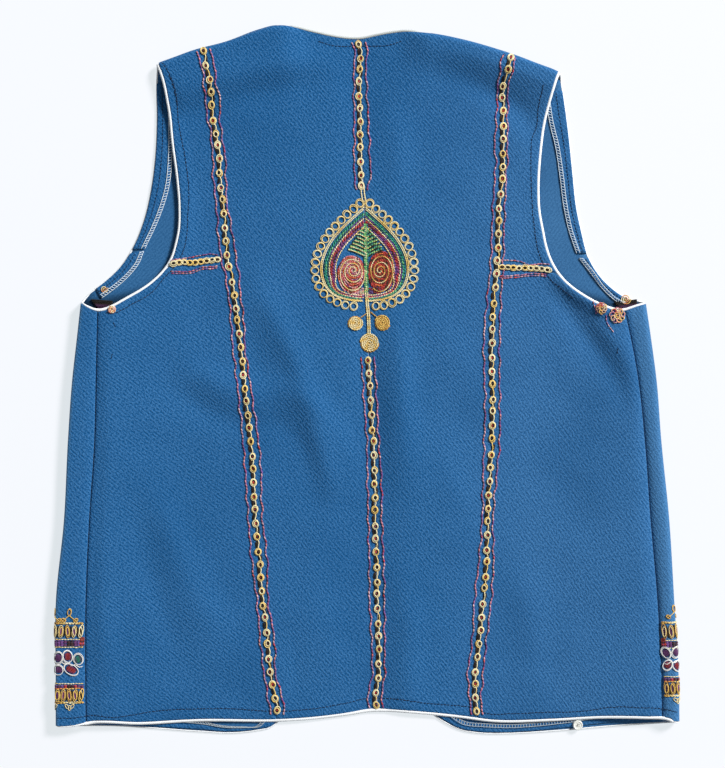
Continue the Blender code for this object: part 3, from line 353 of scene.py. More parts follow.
# x, y and heading of short tacking stitches
TACKS = (
    (-167.6, 255, 112), (-165, 248.2, 110), (-163.2, 241.4, 105), (-162, 234.6, 98), (-161.3, 227.8, 95),
    (-213.8, 43.8, -62), (-216.3, 19.1, 74), (212, 23.4, 80),
)

# dyes of the threads, in the order in which they come along a thread
GOLD = ("gold_deep", "gold", "gold_pale")
PALE = ("gold", "gold_pale", "gold_pale")
REDS = ("purple", "rose", "red", "violet", "rose", "purple", "pink")
DARKS = ("braid", "braid_brown")
# threads: slot, roughness, length of a ply's turn and depth between plies in metres, how metallic they are,
# and how much painted shade darkens them between the plies
THREADS = {
    "gold_thread": ("gold_thread", 0.42, 0.0011, 0.00012, 0.1, 0.4),
    "silk_thread": ("colour_thread", 0.5, 0.0009, 0.00010, 0.0, 0.4),
    "dark_braid": ("dark_thread", 0.7, 0.0012, 0.00010, 0.0, 0.3),
    "white_embroidery": ("white_thread", 0.55, 0.0010, 0.00008, 0.0, 0.2),
    "sewing_thread": ("white_thread", 0.7, 0.0007, 0.00004, 0.0, 0.45),
    "navy_thread": ("dark_thread", 0.6, 0.0008, 0.00005, 0.0, 0.45),
    "overlock_thread": ("white_thread", 0.65, 0.0008, 0.00004, 0.0, 0.25),
}
THREAD_TIP = 0.45           # share of its radius that an open thread has at its ends
PLIES = 2                   # of a couched cord
# a stitch from end to end: shares of its length, and of its height, as both ends dip into the cloth
STITCH_SHARE = np.array([-0.5, -0.36, 0.0, 0.36, 0.5])
STITCH_RISE = np.array([-0.7, 0.65, 1.0, 0.65, -0.7])
EDGE_CLEAR = 0.5            # seam threads stay this far from the back's ends
SEAM_RING, LEVEL_RING = (3.1, 2.45, 11.6), (3.1, 2.2, 4.7)       # half length, half width and pitch of rings

LEAF_X = -2.4               # middle of the leaf
# half of its outline, from its point to its foot: distance from its middle line, and y
LEAF_HALF = (
    (0, 144.5), (9, 136.5), (19, 127.2), (27.5, 117.3), (33.2, 107.5), (36.5, 96.5), (36.3, 86.5), (33, 77.6),
    (26.5, 71), (16, 67), (6, 65.6), (0, 65.4),
)
LEAF_BORDER, LEAF_RING_PITCH = 5.4, 7.1          # how far outside it the border's rings lie, and their pitch
# rows of stitches inside the outline: how far in, dyes, radius and pitch
LEAF_ROWS = (
    (2.6, ("teal_deep", "teal", "teal_deep"), 0.62, 2.6), (3.9, ("teal", "green", "teal"), 0.62, 2.6),
    (5.3, ("teal_deep", "violet"), 0.58, 2.6), (6.6, PALE, 0.48, 2.1),
    (8, ("red", "purple", "red"), 0.62, 2.6), (9.3, ("purple", "red", "braid_brown"), 0.6, 2.6),
    (10.6, ("violet", "purple"), 0.58, 2.6), (11.9, PALE, 0.48, 2.1),
)
# spirals: x, y, radius, hand, start, how far the outer turns are drawn out and shifted; then their dyes
SPIRALS = (
    (
        (-11.9, 91.4, 11.6, 1, 0, 0.38, (-1.9, -3.8)),
        (("rose", "pink", "orange"), ("pink", "red", "rose", "purple"), PALE),
    ),
    (
        (10.6, 90.9, 10.9, -1, 2, 0.62, (0.9, -1.2)),
        (("orange", "red", "braid_brown"), ("braid_brown", "red", "braid_brown"), GOLD),
    ),
)
# their turns, the angle between their threads, and the share of the radius at which they start
SPIRAL_TURNS, SPIRAL_OFFSET, SPIRAL_CORE = 3.7, 2.05, 0.08
# dyes of the speckled filling at both sides, and of the stem with how far its threads lie aside
SPECKLES = ((-1, ("rose", "pink", "gold_pale", "red")), (1, ("red", "braid_brown", "violet", "braid_brown")))
STEM_THREADS = ((-1.2, ("green", "teal_deep")), (0, ("green", "gold_pale")), (1.2, ("teal_deep", "green")))
# x and y along the stalk above the leaf, the stem in it and its foot below
STALK = ((-4.4, 163.8), (-4, 157), (-2.7, 149), (-2.2, 144.5))
STEM = ((LEAF_X + 0.9, 131), (LEAF_X + 1.2, 100), (LEAF_X + 1.4, 72))
FOOT = ((LEAF_X + 1.4, 76), (LEAF_X + 2.2, 64), (1, 50), (1.4, 36))
VEINS = 32                  # rows of stitches that make the veins
# discs under it: x, y, radius and dyes; and the cords that lead to two of them
LEAF_DISCS = (
    (-10.3, 46, 6.4, PALE), (12.6, 46.5, 6.7, ("gold_deep", "gold", "gold")), (1.6, 29.5, 8.1, PALE),
)
DISC_CORDS = (((1, 56), (-3.5, 52.5), (-6.5, 50.6)), ((2.4, 56), (5.8, 53), (8.4, 51.2)))
MIXED = ("red", "gold_pale", "pink", "purple", "gold")
# rosettes near the underarms: x, y, radius and dyes of their petals
ROSETTES = (
    (-216.3, 57.6, 3, ("rose", "orange", "gold_pale", "pink")),
    (197.8, 58.6, 4.6, MIXED), (211.4, 52.6, 6.4, MIXED),
)
PETALS_IN_ROSETTE = 9
INNER_ROSETTES = ((-224, 75.2, 3.2), (219.6, 66.6, 4.4))
# dark bindings inside the underarm corners, darkened as painted shade of these deep corners, by both ends of
# the first row, and stray stitches outside them
UNDERARM_BINDINGS_IN_SHADE = (((-235.5, 66), (-216.5, 64.6)), ((209.5, 63.6), (229.5, 66)))
UNDERARM_STITCHES = (((191, 64.2), (194.4, 52.3)), ((201.9, 53.1), (202.8, 47.2), (208.7, 37.8)))
# levels of the bands round the side folds: y of the crown's top, the upper gold line, the foot of its loops,
# the middle of the flowers, the top of the lower loops, the lower gold line and the drops under it
BANDS = {
    LEFT: (-195.5, -208.7, -220.6, -240, -263.9, -275.8, -281),
    RIGHT: (-192.5, -208, -221.4, -237.5, -258, -270, -275.5),
}
# the crown of loops: way from the side seam to its first point, pitch of its points, and the loops at each:
# aside, up, half length, half width and tilt
CROWN_START, CROWN_PITCH = 13.4, 14.3
CROWN_LOOPS = ((0, 0, 3, 1.7, 1.75), (4.9, -6.6, 1.9, 1.5, 0.5), (-5.4, -6.8, 1.9, 1.5, 2.6))
# petals: way from the side seam, y from the flowers' middle, half length, half width, tilt and filling
PETALS = {
    LEFT: (
        (5.9, 1.2, 4.8, 4, 1.3, "teal"), (14.5, 3.6, 5.2, 4.3, 1.5, "red"),
        (22.6, 2.4, 5.4, 3.9, 1.7, "purple"), (11.8, -7.4, 7, 4.1, 0.45, "red"),
        (22.1, -7.5, 4.6, 4, 1.5, "purple"),
    ),
    RIGHT: (
        (4.3, 4.1, 5, 3.6, 2, "purple"), (4.8, -6.2, 4.8, 3.8, 1, "red"),
        (12.8, 4.6, 5.2, 3.8, 1.1, "purple"), (13.4, -7, 5.2, 3.8, 2.1, "red"),
        (21.6, 3, 5, 3.9, 1.5, "teal"), (21.8, -7, 4.8, 3.9, 1.5, "purple"),
    ),
}

# ---------------------------------------------------------------- piping, button, overlocking and finishes
PIPING_STEP = 2.2           # distance between the rings of points along piping
HEM_PIPING_SHARE = 1.15     # the hem's piping is this much thicker than that of the armholes
PULLED_IN = 0.5             # its radius under the left side strip
BUTTON_HEIGHT = 1.7
# the button's holes: how far from its middle, their radius, and the first one's angle
HOLE_AWAY, HOLE_RADIUS, HOLE_START = 1.05, 0.48, 0.6
OVERLOCK_STEP, OVERLOCK_WIDTH = 1.2, 3.0
OVERLOCK_RISE, OVERLOCK_RADIUS = 0.34, 0.26
OVERLOCK_SHADE = 0.55      # painted shade: share of the overlock's brightness under the hem, where it lies in shade
WELD = 0.00001              # points of a piece nearer than this become one, in metres
SHARP_EDGE = math.radians(50)
RIB_ACROSS, RIB_ALONG = 0.755, 0.656    # cosine and sine of the angle at which the twill's ribs run
RIGHT_LIGHT_GAIN = np.array([0.010, 0.015, 0.020])           # painted light: what the twill gains where it is made palest, towards the vest's right
PIECE = "_cloth"            # how the names of cloth pieces end
# angle at which a piece is cut, in degrees from the others
GRAINS = {
    "back_side_left": 11.0, "back_yoke_left": 4.0, "back_side_right": -5.0, "back_yoke_right": -3.0,
    "front_left": 6.0, "front_right": -4.0,
}

# ---------------------------------------------------------------- ground, light and camera, in metres
GROUND_HALF, GROUND_LOW = 12.0, -0.0003
GLOW_COLOUR, GLOW_STRENGTH = (0.911, 0.972, 1.0, 1.0), 0.757
SKY_COLOUR, SKY_STRENGTH = (0.93, 0.97, 1.0, 1.0), 0.24
LAMP_AT, LAMP_SIZE = (5.9, 4.9, 5.6), (2.4, 2.0)
LAMP_POWER, LAMP_COLOUR = 1400.0, (1.0, 0.99, 0.975)
VIEW_MIDDLE, VIEW_WIDTH, MEAN_HEIGHT = (-0.0038, -0.0043), 0.6528, 0.0045
SENSOR = 36.0               # width of the camera's sensor, in millimetres

# ---------------------------------------------------------------- lines
def smooth(knots, values, at):
    """Cubic line through rows of values at the knots; a row's slope is the weighted mean of both sides."""
    knots = np.asarray(knots, float)
    values = np.asarray(values, float).reshape(len(knots), -1)
    gaps = np.diff(knots)[:, None]
    slopes = np.diff(values, axis=0) / gaps
    inner = (slopes[:-1] * gaps[1:] + slopes[1:] * gaps[:-1]) / (gaps[1:] + gaps[:-1])
    tangents = np.vstack([slopes[:1], inner, slopes[-1:]])
    at = np.asarray(at, float)
    flat = np.clip(at.ravel(), knots[0], knots[-1])
    cell = np.clip(np.searchsorted(knots, flat, side="right") - 1, 0, len(knots) - 2)
    gap = gaps[cell]
    t = (flat[:, None] - knots[cell][:, None]) / gap
    result = (
        values[cell] * (2 * t**3 - 3 * t**2 + 1)
        + tangents[cell] * gap * (t**3 - 2 * t**2 + t)
        + values[cell + 1] * (3 * t**2 - 2 * t**3)
        + tangents[cell + 1] * gap * (t**3 - t**2)
    )
    return result.reshape(at.shape + (values.shape[1],))


def column(rows, index):
    """One column of a table as a smooth function of its first column."""
    rows = np.array(sorted(rows), float)
    return lambda at: smooth(rows[:, 0], rows[:, index], at)[..., 0]


def path(rows, step=2.0):
    """Points about step apart on a smooth line through rows of x, y and any further columns."""
    rows = np.array(rows, float)
    knots = np.append(0.0, np.cumsum(np.linalg.norm(np.diff(rows[:, :2], axis=0), axis=1)))
    return smooth(knots, rows, np.linspace(0.0, knots[-1], int(round(knots[-1] / step)) + 1))


def lengths(line):
    """Length along a line at each of its points."""
    return np.append(0.0, np.cumsum(np.linalg.norm(np.diff(line, axis=0), axis=1)))


def along(line, at):
    """Points of a line at given lengths along it."""
    run = lengths(line)
    return np.stack([np.interp(at, run, line[:, i]) for i in range(line.shape[1])], axis=-1)


def inset(line, distance):
    """A line moved sideways by distance, to the left of its own direction."""
    tangent = np.gradient(line, axis=0)
    tangent /= np.linalg.norm(tangent, axis=1)[:, None]
    return line + np.asarray(distance)[..., None] * np.stack([-tangent[:, 1], tangent[:, 0]], axis=1)


def bell(distance):
    """1 at distance 0, falling smoothly to 0 at distance 1."""
    return 0.5 + 0.5 * np.cos(math.pi * np.clip(distance, 0.0, 1.0))


fold_of = {side: column(SIDES[side], 1) for side in SIDES}
side_seam_of = {side: column(SIDES[side], 2) for side in SIDES}
reach_of = {side: column(SIDES[side], 3) for side in SIDES}
opening_of = {LEFT: column(OPENINGS, 1), RIGHT: column(OPENINGS, 2)}
seam_of = {LEFT: column(SEAMS, 1), "centre": column(SEAMS, 2), RIGHT: column(SEAMS, 3)}
front_hem_of = {side: column(FRONT_HEM[side], 1) for side in FRONT_HEM}
top_line, top_reach = column(TOPS, 1), column(TOPS, 2)
hem_piping_line = column(BACK_HEM, 1)


def x_at(line, y):
    """The x of a line at a height."""
    order = np.argsort(line[:, 1])
    return np.interp(y, line[order, 1], line[order, 0])


def y_at(line, x):
    """The height of a line at an x."""
    order = np.argsort(line[:, 0])
    return np.interp(x, line[order, 0], line[order, 1])


# ---------------------------------------------------------------- heights
def turn(x):
    """How far the top edge is turned over as a shoulder fold: 0 at the free neck edge, 1 at the shoulders."""
    return 1.0 - bell((np.abs(x - NECK_MIDDLE) - NECK_FREE) / (NECK_TURN - NECK_FREE))


def fold_top(x):
    """The y where the shoulder fold starts, its radius below the top line."""
    return top_line(x) - SHOULDER_RADIUS


def inside_of(side, x, y):
    """How far inside a side fold's outermost line points are."""
    return INWARD[side] * (x - fold_of[side](y))


@lru_cache(maxsize=None)
def fold_line(side):
    """Half outline of a side fold of radius 1, from its top round to its underside: the way along it, its
    points outwards and up, and the directions away from it.  Outwards and up, each to the fold's power, add
    up to 1."""
    power = FOLD_SHAPE[side]
    angle = np.linspace(0.0, math.pi, 361)
    out = np.abs(np.sin(angle)) ** (2 / power)
    up = np.sign(np.cos(angle)) * np.abs(np.cos(angle)) ** (2 / power)
    away = np.stack([out ** (power - 1), np.sign(up) * np.abs(up) ** (power - 1)], axis=1)
    away /= np.linalg.norm(away, axis=1)[:, None]
    points = np.stack([out, up], axis=1)
    return np.hstack([lengths(points)[:, None], points, away])


def on_fold(side, way):
    """Values of that outline at ways along it: outwards, up, and away outwards and up."""
    line = fold_line(side)
    return [np.interp(way, line[:, 0], line[:, index]) for index in range(1, 5)]


def crease(x, y, rows):
    """Rise of a soft crease: its crest's rise times a bell of the distance to the crest's nearest part."""
    crest = path(rows, step=6.0)
    reach = 3.0 * crest[:, 3].max()
    result = np.zeros(x.shape)
    low, high = crest[:, :2].min(axis=0) - reach, crest[:, :2].max(axis=0) + reach
    near = (x > low[0]) & (x < high[0]) & (y > low[1]) & (y < high[1])
    point = np.stack([x[near], y[near]], axis=-1)[:, None, :]
    start, step = crest[:-1], np.diff(crest, axis=0)
    share = np.sum((point - start[:, :2]) * step[:, :2], axis=-1) / np.sum(step[:, :2] ** 2, axis=-1)
    share = np.clip(share, 0.0, 1.0)[..., None]
    gap = np.linalg.norm(point - start[:, :2] - share * step[:, :2], axis=-1)
    nearest = np.argmin(gap, axis=-1)[:, None]
    gap = np.take_along_axis(gap, nearest, axis=-1)[:, 0]
    share = np.take_along_axis(share[..., 0], nearest, axis=-1)[:, 0, None]
    here = start[nearest[:, 0]] + share * step[nearest[:, 0]]
    result[near] = here[:, 2] * np.exp(-((gap / here[:, 3]) ** 2))
    return result


def ripple(x, y):
    """Slight unevenness of pressed cloth: a few long waves, each in its own direction, added up."""
    return sum(
        rise * np.sin(2 * math.pi * (x * math.cos(heading) + y * math.sin(heading)) / wave + 3 * heading)
        for wave, heading, rise in RIPPLES
    )


def lie(x, y):
    """Height of the back's outer face: lying on the fronts, rolling up to the side folds and the shoulder
    folds, sinking between the parted fronts and along the centre seam, with the soft creases."""
    x, y = np.broadcast_arrays(np.asarray(x, float), np.asarray(y, float))
    roll = np.zeros(x.shape)
    for side in (LEFT, RIGHT):
        roll = np.maximum(roll, bell((inside_of(side, x, y) - FOLD_RADIUS) / reach_of[side](y)))
    height = BACK_LIE + (2 * FOLD_RADIUS - BACK_LIE) * roll
    from_top = fold_top(x) - y
    shoulder = bell(from_top / top_reach(x)) * turn(x)
    height = height + (2 * SHOULDER_RADIUS - BACK_LIE) * shoulder * (1 - roll)
    loose = (1 - roll) * (1 - shoulder)
    half_width = 0.5 * (opening_of[RIGHT](y) - opening_of[LEFT](y))
    middle = 0.5 * (opening_of[RIGHT](y) + opening_of[LEFT](y))
    depth = GAP_SAG * np.clip(half_width / FULL_SAG_WIDTH, 0.0, 1.0)
    height = height - depth * bell(np.abs(x - middle) / half_width) * loose
    centre = np.exp(-(((x - seam_of["centre"](y)) / CENTRE_SAG_WIDTH) ** 2))
    height = height - CENTRE_SAG * centre * loose
    for rows in CREASES:
        height = height + crease(x, y, rows) * loose
    free = 1.0 - bell(from_top / CALM) * turn(x)
    for side in (LEFT, RIGHT):
        free = free * (1.0 - bell((inside_of(side, x, y) - FOLD_RADIUS) / CALM))
    for rows in FINE_CREASES:
        height = height + crease(x, y, rows) * free
    return height + ripple(x, y) * np.clip(loose + LEAST_RIPPLE, 0.0, 1.0)


def outer_face(x, y):
    """Height of the back's outer face, also round the upper quarter of the shoulder and side folds."""
    edge = fold_top(x)
    height = lie(x, np.minimum(y, edge))
    over = np.clip((y - edge) / SHOULDER_RADIUS, 0.0, FARTHEST_OVER)
    height = height - turn(x) * SHOULDER_RADIUS * (1.0 - np.sqrt(1.0 - over**2))
    for side in (LEFT, RIGHT):
        over = np.clip(1.0 - inside_of(side, x, y) / FOLD_RADIUS, 0.0, FARTHEST_OVER)
        power = FOLD_SHAPE[side]
        height = height - FOLD_RADIUS * (1.0 - (1.0 - over**power) ** (1 / power))
    return height


def lift(x, y):
    """Height of a front's underside off the ground: soft troughs away from its edges."""
    x, y = np.broadcast_arrays(np.asarray(x, float), np.asarray(y, float))
    return sum(crease(x, y, rows) for rows in UNDER_CREASES)


# ---------------------------------------------------------------- grids of points
def edged(cells, width):
    """Shares from 0 to 1 across a piece of that width: even cells between a few narrow ones at both edges."""
    near = np.array(EDGE_CELLS) / width
    even = np.linspace(near[-1], 1.0 - near[-1], cells + 1)[1:-1]
    return np.concatenate([[0.0], near, even, 1.0 - near[::-1], [1.0]])


def fill(left, right, bottom, top, across, rows):
    """A grid between four edges: x runs from left(y) to right(y) and y from bottom(x) to top(x).  Each needs
    the other, so they are worked out in turn until they settle."""
    u, v = np.asarray(across)[None, :], np.asarray(rows)[:, None]
    x = np.zeros((v.shape[0], u.shape[1]))
    y = bottom(x) * (1 - v) + top(x) * v
    for _ in range(SETTLING):
        x = left(y) * (1 - u) + right(y) * u
        y = bottom(x) * (1 - v) + top(x) * v
    return x, y


def grid(x, y, z):
    """Three arrays of one shape as an array of points."""
    return np.stack(np.broadcast_arrays(x, y, z), axis=-1)


def over_shoulder(points, lines, across, end):
    """A grid carried on between the same two lines, round half of the shoulder fold: a quarter circle down or
    up to the height end.  Where the edge is free it runs on level instead."""

    def x_of(y):
        return lines[0](y) * (1 - across) + lines[1](y) * across

    y, z = points[-1, :, 1], points[-1, :, 2]
    turned = turn(x_of(y))
    rows = []
    for share in np.linspace(0.0, 1.0, TURN_STEPS + 1)[1:]:
        step = share * math.pi / 2
        y_row = y + SHOULDER_RADIUS * (turned * math.sin(step) + (1 - turned) * share)
        z_row = z + (end - z) * turned * (1 - math.cos(step))
        rows.append(grid(x_of(y_row), y_row, z_row))
    return np.concatenate([points, np.stack(rows)])


def soften(points, drops):
    """Turns cloth edges down: within a short way of each named edge the points sink by a growing square."""
    points = points.copy()
    edges = {"left": points[:, :1], "right": points[:, -1:], "bottom": points[:1], "top": points[-1:]}
    low = np.zeros(points.shape[:2])
    for name, (drop, reach) in drops.items():
        away = np.linalg.norm((points - edges[name])[..., :2], axis=-1)
        low = np.maximum(low, drop * np.clip(1.0 - away / reach, 0.0, 1.0) ** 2)
    points[..., 2] -= low
    return points


def front_inset():
    """How far inside its finished edge a front's cloth ends: the width of the pressed piping."""
    return 2 * sizes().flat_piping / MM + 0.1


def back_rim(side):
    """The back's cloth edge round the armhole, inside the piping."""
    return inset(path(BACK_ARMHOLE[side]), INWARD[side] * sizes().piping / MM)


def front_rim(side):
    """The front's cloth edge round the armhole, ending where the side fold starts."""
    line = inset(path(FRONT_ARMHOLE[side]), INWARD[side] * front_inset())
    start = UNDERARM[side][0]
    end = [fold_of[side](start) + INWARD[side] * FOLD_RADIUS, start]
    keep = (line[:, 1] > start + 0.5) & ((line[:, 0] - end[0]) * INWARD[side] > 0)
    return np.vstack([line[keep], end])


def back_hem(x):
    """The back's cloth edge along the hem."""
    return hem_piping_line(x) + sizes().piping / MM


# how far a sewn edge and a piped edge turn down, and over what width; then both edges of the side seams
SEAM_DROP, EDGE_DROP = (0.75, 1.8), (0.5, 2.2)
PANEL_DROP = {LEFT: (1.7, 3.0), RIGHT: (1.3, 2.4)}
STRIP_DROP = {LEFT: (0.7, 1.4), RIGHT: (1.5, 2.4)}


def edge_drops(mirror, outer, inner, **others):
    """How a panel's edges turn down: the outer one, towards the side fold, the inner one and any others."""
    left, right = (inner, outer) if mirror else (outer, inner)
    return {"left": left, "right": right, **others}


@lru_cache(maxsize=None)
def back_panels():
    """Outer faces of the six back panels."""
    half = SEAM_GAP / 4
    panels = {}
    for side in (LEFT, RIGHT):
        mirror = side == RIGHT
        order = -1 if mirror else 1
        seam, centre, side_seam = seam_of[side], seam_of["centre"], side_seam_of[side]
        level_x, level_y, slope = LEVELS[side]
        inner, outer = INWARD[side] * half, -INWARD[side] * half

        def level(x, offset=0.0):
            return level_y + slope * (x - level_x) + offset

        # down the middle, over the shoulder fold or to the free neck edge
        lines = (lambda y: seam(y) + inner, lambda y: centre(y) - inner)[::order]
        across = edged(34, 115.0)
        x, y = fill(*lines, back_hem, fold_top, across, edged(168, 560.0))
        points = over_shoulder(grid(x, y, lie(x, y)), lines, across, SHOULDER_RADIUS)
        down = edge_drops(mirror, SEAM_DROP, SEAM_DROP, bottom=EDGE_DROP)
        panels["back_centre_" + side] = soften(points, down)

        # at the side: its top edge is the lower part of the armhole, then the level seam
        rim = back_rim(side)
        corner = np.argmin(np.abs(rim[:, 1] - level(rim[:, 0], -half)))
        inner_end = seam(level(level_x))
        top = np.vstack([rim[corner:], [[inner_end, level(inner_end, -half)]]])
        lines = (lambda y: side_seam(y) + inner, lambda y: seam(y) + outer)[::order]
        outer_end = side_seam(rim[corner, 1])
        share = (rim[corner, 0] - outer_end) / (inner_end - outer_end)
        across = np.concatenate([share * edged(26, 90.0)[:-4], share + (1.0 - share) * edged(14, 48.0)[3:]])
        across = 1.0 - across[::-1] if mirror else across
        x, y = fill(*lines, back_hem, lambda at: y_at(top, at), across, edged(112, 375.0))
        down = edge_drops(mirror, PANEL_DROP[side], SEAM_DROP, bottom=EDGE_DROP, top=EDGE_DROP)
        panels["back_side_" + side] = soften(grid(x, y, lie(x, y)), down)

        # beside the armhole, over the shoulder fold
        lines = (lambda y: x_at(rim, y), lambda y: seam(y) + outer)[::order]
        across = edged(20, 44.0)
        x, y = fill(*lines, lambda at: level(at, half), fold_top, across, edged(52, 168.0))
        points = over_shoulder(grid(x, y, lie(x, y)), lines, across, SHOULDER_RADIUS)
        down = edge_drops(mirror, EDGE_DROP, SEAM_DROP, bottom=SEAM_DROP)
        panels["back_yoke_" + side] = soften(points, down)
    return panels


@lru_cache(maxsize=None)
def front_panel(side):
    """Outer faces of a front: the sheet on the ground up to the underarm, the sheet above it, and the part
    that goes round the side fold and over to the side seam."""
    start, outermost = UNDERARM[side]
    rim, inner = front_rim(side), opening_of[side]
    across = 1.0 - (1.0 - np.linspace(0.0, 1.0, 41)) ** 1.3
    rows = edged(92, 375.0)

    def hem(x):
        return front_hem_of[side](x) + front_inset()

    def fold_start(y):
        return fold_of[side](y) + INWARD[side] * FOLD_RADIUS

    def underarm(x):
        return np.full(np.shape(x), start)

    def rim_x(y):
        return x_at(rim, y)

    def sheet(x, y):
        near_edge = np.clip(np.abs(x - x[:, :1]) / LIFT_START, 0.0, 1.0)
        return grid(x, y, lift(x, y) * near_edge)

    lower = sheet(*fill(fold_start, inner, hem, underarm, across, rows))
    upper = sheet(*fill(rim_x, inner, underarm, fold_top, across, np.linspace(0.0, 1.0, 46) ** 1.2))
    upper = over_shoulder(upper, (rim_x, inner), across, SHOULDER_RADIUS - 0.1)

    edge = back_rim(side)
    crown = fold_start(outermost)
    front_bottom = hem(fold_start(HEM_HEIGHT))
    back_bottom = back_hem(fold_of[side](HEM_HEIGHT))
    columns = [lower[:, 0]]
    for way in np.linspace(fold_line(side)[-1, 0], 0.0, 21)[1:]:
        share, up, _, _ = on_fold(side, way)
        top = start + (outermost - start) * share
        if up > 0:
            top = y_at(edge, crown) + (outermost - y_at(edge, crown)) * share
        bottom = front_bottom + (back_bottom - front_bottom) * (1 + up) / 2
        y = bottom + (top - bottom) * rows
        x = fold_start(y) - INWARD[side] * FOLD_RADIUS * share
        columns.append(grid(x, y, FOLD_RADIUS * (1 + up)))
    for share in np.concatenate([np.linspace(0.0, 0.9, 6)[1:], [0.94, 0.97, 1.0]]):
        y = columns[-1][:, 1]
        for _ in range(SETTLING):
            x = fold_start(y) * (1 - share) + (side_seam_of[side](y) - INWARD[side] * SEAM_GAP / 4) * share
            y = back_hem(x) * (1 - rows) + y_at(edge, x) * rows
        columns.append(grid(x, y, lie(x, y)))
    wrap = soften(np.stack(columns, axis=1), {"right": STRIP_DROP[side]})
    return lower, upper, wrap


def on_back(line, height):
    """Points of the laid back above x and y: on its outer face, raised by height."""
    return grid(line[..., 0], line[..., 1], outer_face(line[..., 0], line[..., 1]) + height)


def round_fold(side, run, y, height):
    """Points on the outer face of a front's side and the directions away from it, run being the way along the
    cloth from the side seam: over the strip to the fold, then round its half circle."""
    run, y, height = np.broadcast_arrays(np.asarray(run, float), y, height)
    seam, fold = side_seam_of[side](y), fold_of[side](y)
    flat = np.abs(fold - seam) - FOLD_RADIUS
    out, up, away, above = on_fold(side, np.maximum(run - flat, 0.0) / FOLD_RADIUS)
    over = fold + INWARD[side] * FOLD_RADIUS - INWARD[side] * (FOLD_RADIUS * out + height * away)
    x = np.where(run < flat, seam - INWARD[side] * run, over)
    z = np.where(run < flat, lie(x, y) + height, FOLD_RADIUS * (1 + up) + height * above)
    return grid(x, y, z), grid(-INWARD[side] * away, np.zeros(y.shape), above)


# ---------------------------------------------------------------- meshes
def place(points):
    """Points in millimetres as points of the part's frame, in metres."""
    return (np.asarray(points, float).reshape(-1, 3) - MIDDLE) * MM


def fill_uv(mesh, name, values):
    """Writes a UV map: one pair of numbers for each corner."""
    layer = mesh.uv_layers.new(name=name)
    layer.uv.foreach_set("vector", np.asarray(values, np.float32).ravel())


def new_piece(name, mesh, materials):
    """A named piece that rides on the vest's one body."""
    piece = bpy.data.objects.new(name, mesh)
    collection().objects.link(piece)
    for finish in materials:
        mesh.materials.append(finish)
    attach(piece, "root")
    return piece


def collection():
    """The collection that holds the vest's pieces."""
    found = bpy.data.collections.get("folk_vest")
    if found is None:
        found = bpy.data.collections.new("folk_vest")
        bpy.context.scene.collection.children.link(found)
    return found


def pocket_shade_factor(points):
    """Share of the inside's colour kept at points under painted shade: 1, and less close under the back's
    armhole edges, most of all at their lower ends."""
    x, y = points[..., 0], points[..., 1]
    result = np.ones(x.shape)
    for side, (deep, near, foot) in POCKET_SHADE.items():
        edge = path(BACK_ARMHOLE[side], step=3.0)
        gap = np.min(np.hypot(x[..., None] - edge[:, 0], y[..., None] - edge[:, 1]), axis=-1)
        low = bell((y - UNDERARM[side][1]) / POCKET_SHADE_RISE)
        result = result * (1.0 - deep * (0.3 + 0.7 * low) * bell(gap / (near + foot * low)))
    return result


def fold_light_of(points):
    """Painted light at points: how much paler the cloth is made along the left fold, and over the right side
    strip.
    """
    x, y = points[..., 0], points[..., 1]
    result = np.zeros(x.shape)
    for side, (most, wide, soft) in FOLD_LIGHT.items():
        near = np.clip((wide - inside_of(side, x, y)) / soft, 0.0, 1.0) * (y < UNDERARM[side][0])
        result = np.maximum(result, most * near)
    return result


def quads_of(rows, columns, start):
    """Corner numbers of a grid's cells, anticlockwise seen from where columns run right and rows run up."""
    index = start + np.arange(rows * columns).reshape(rows, columns)
    return np.stack([index[:-1, :-1], index[:-1, 1:], index[1:, 1:], index[1:, :-1]], axis=-1).reshape(-1, 4)


def cloth(part, grids, wall, slot, outside, inside):
    """The cloth of a part: its grids, each with its flat pattern coordinates, welded into one outer face,
    then given its thickness on the inner side, where the cloth's wrong side shows.  The pattern is turned by
    the angle at which the piece was cut."""
    grain = math.radians(GRAINS.get(part, 0.0))
    c, s = math.cos(grain), math.sin(grain)
    points, faces, flat, shade_factor, worn = [], [], [], [], []
    start = 0
    for array, pattern, flip in grids:
        rows, columns = array.shape[:2]
        quads = quads_of(rows, columns, start)
        # painted light along the side folds, kept as a point attribute
        worn.append(fold_light_of(array).ravel())
        # painted shade under the back's armhole edges, kept as the open attribute; the back's panels get none
        shade_factor.append((np.ones((rows, columns)) if part.startswith("back") else pocket_shade_factor(array)).ravel())
        faces.append(quads[:, ::-1] if flip else quads)
        points.append(place(array))
        u, v = pattern.reshape(-1, 2).T * MM
        flat.append(np.stack([u * c + v * s, v * c - u * s], axis=1))
        start += rows * columns
    points, faces, flat = np.concatenate(points), np.concatenate(faces), np.concatenate(flat)
    mesh = bpy.data.meshes.new(part + PIECE)
    mesh.from_pydata(points.tolist(), [], faces.tolist())
    fill_uv(mesh, "cloth", flat[faces.ravel()])
    for title, values in (("open", shade_factor), ("worn", worn)):
        values = np.concatenate(values).astype(np.float32)
        mesh.attributes.new(title, "FLOAT", "POINT").data.foreach_set("value", values)
    if len(grids) > 1:
        work = bmesh.new()
        work.from_mesh(mesh)
        bmesh.ops.remove_doubles(work, verts=work.verts, dist=WELD)
        work.to_mesh(mesh)
        work.free()
    piece = new_piece(part + PIECE, mesh, (outside, inside))
    thick = piece.modifiers.new("wall", "SOLIDIFY")
    thick.thickness = wall
    thick.offset = -1.0
    thick.use_even_offset = True
    thick.use_rim = True
    thick.material_offset = 1
    mesh.shade_smooth()
    mesh.set_sharp_from_angle(angle=SHARP_EDGE)
    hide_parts(part)
    return piece


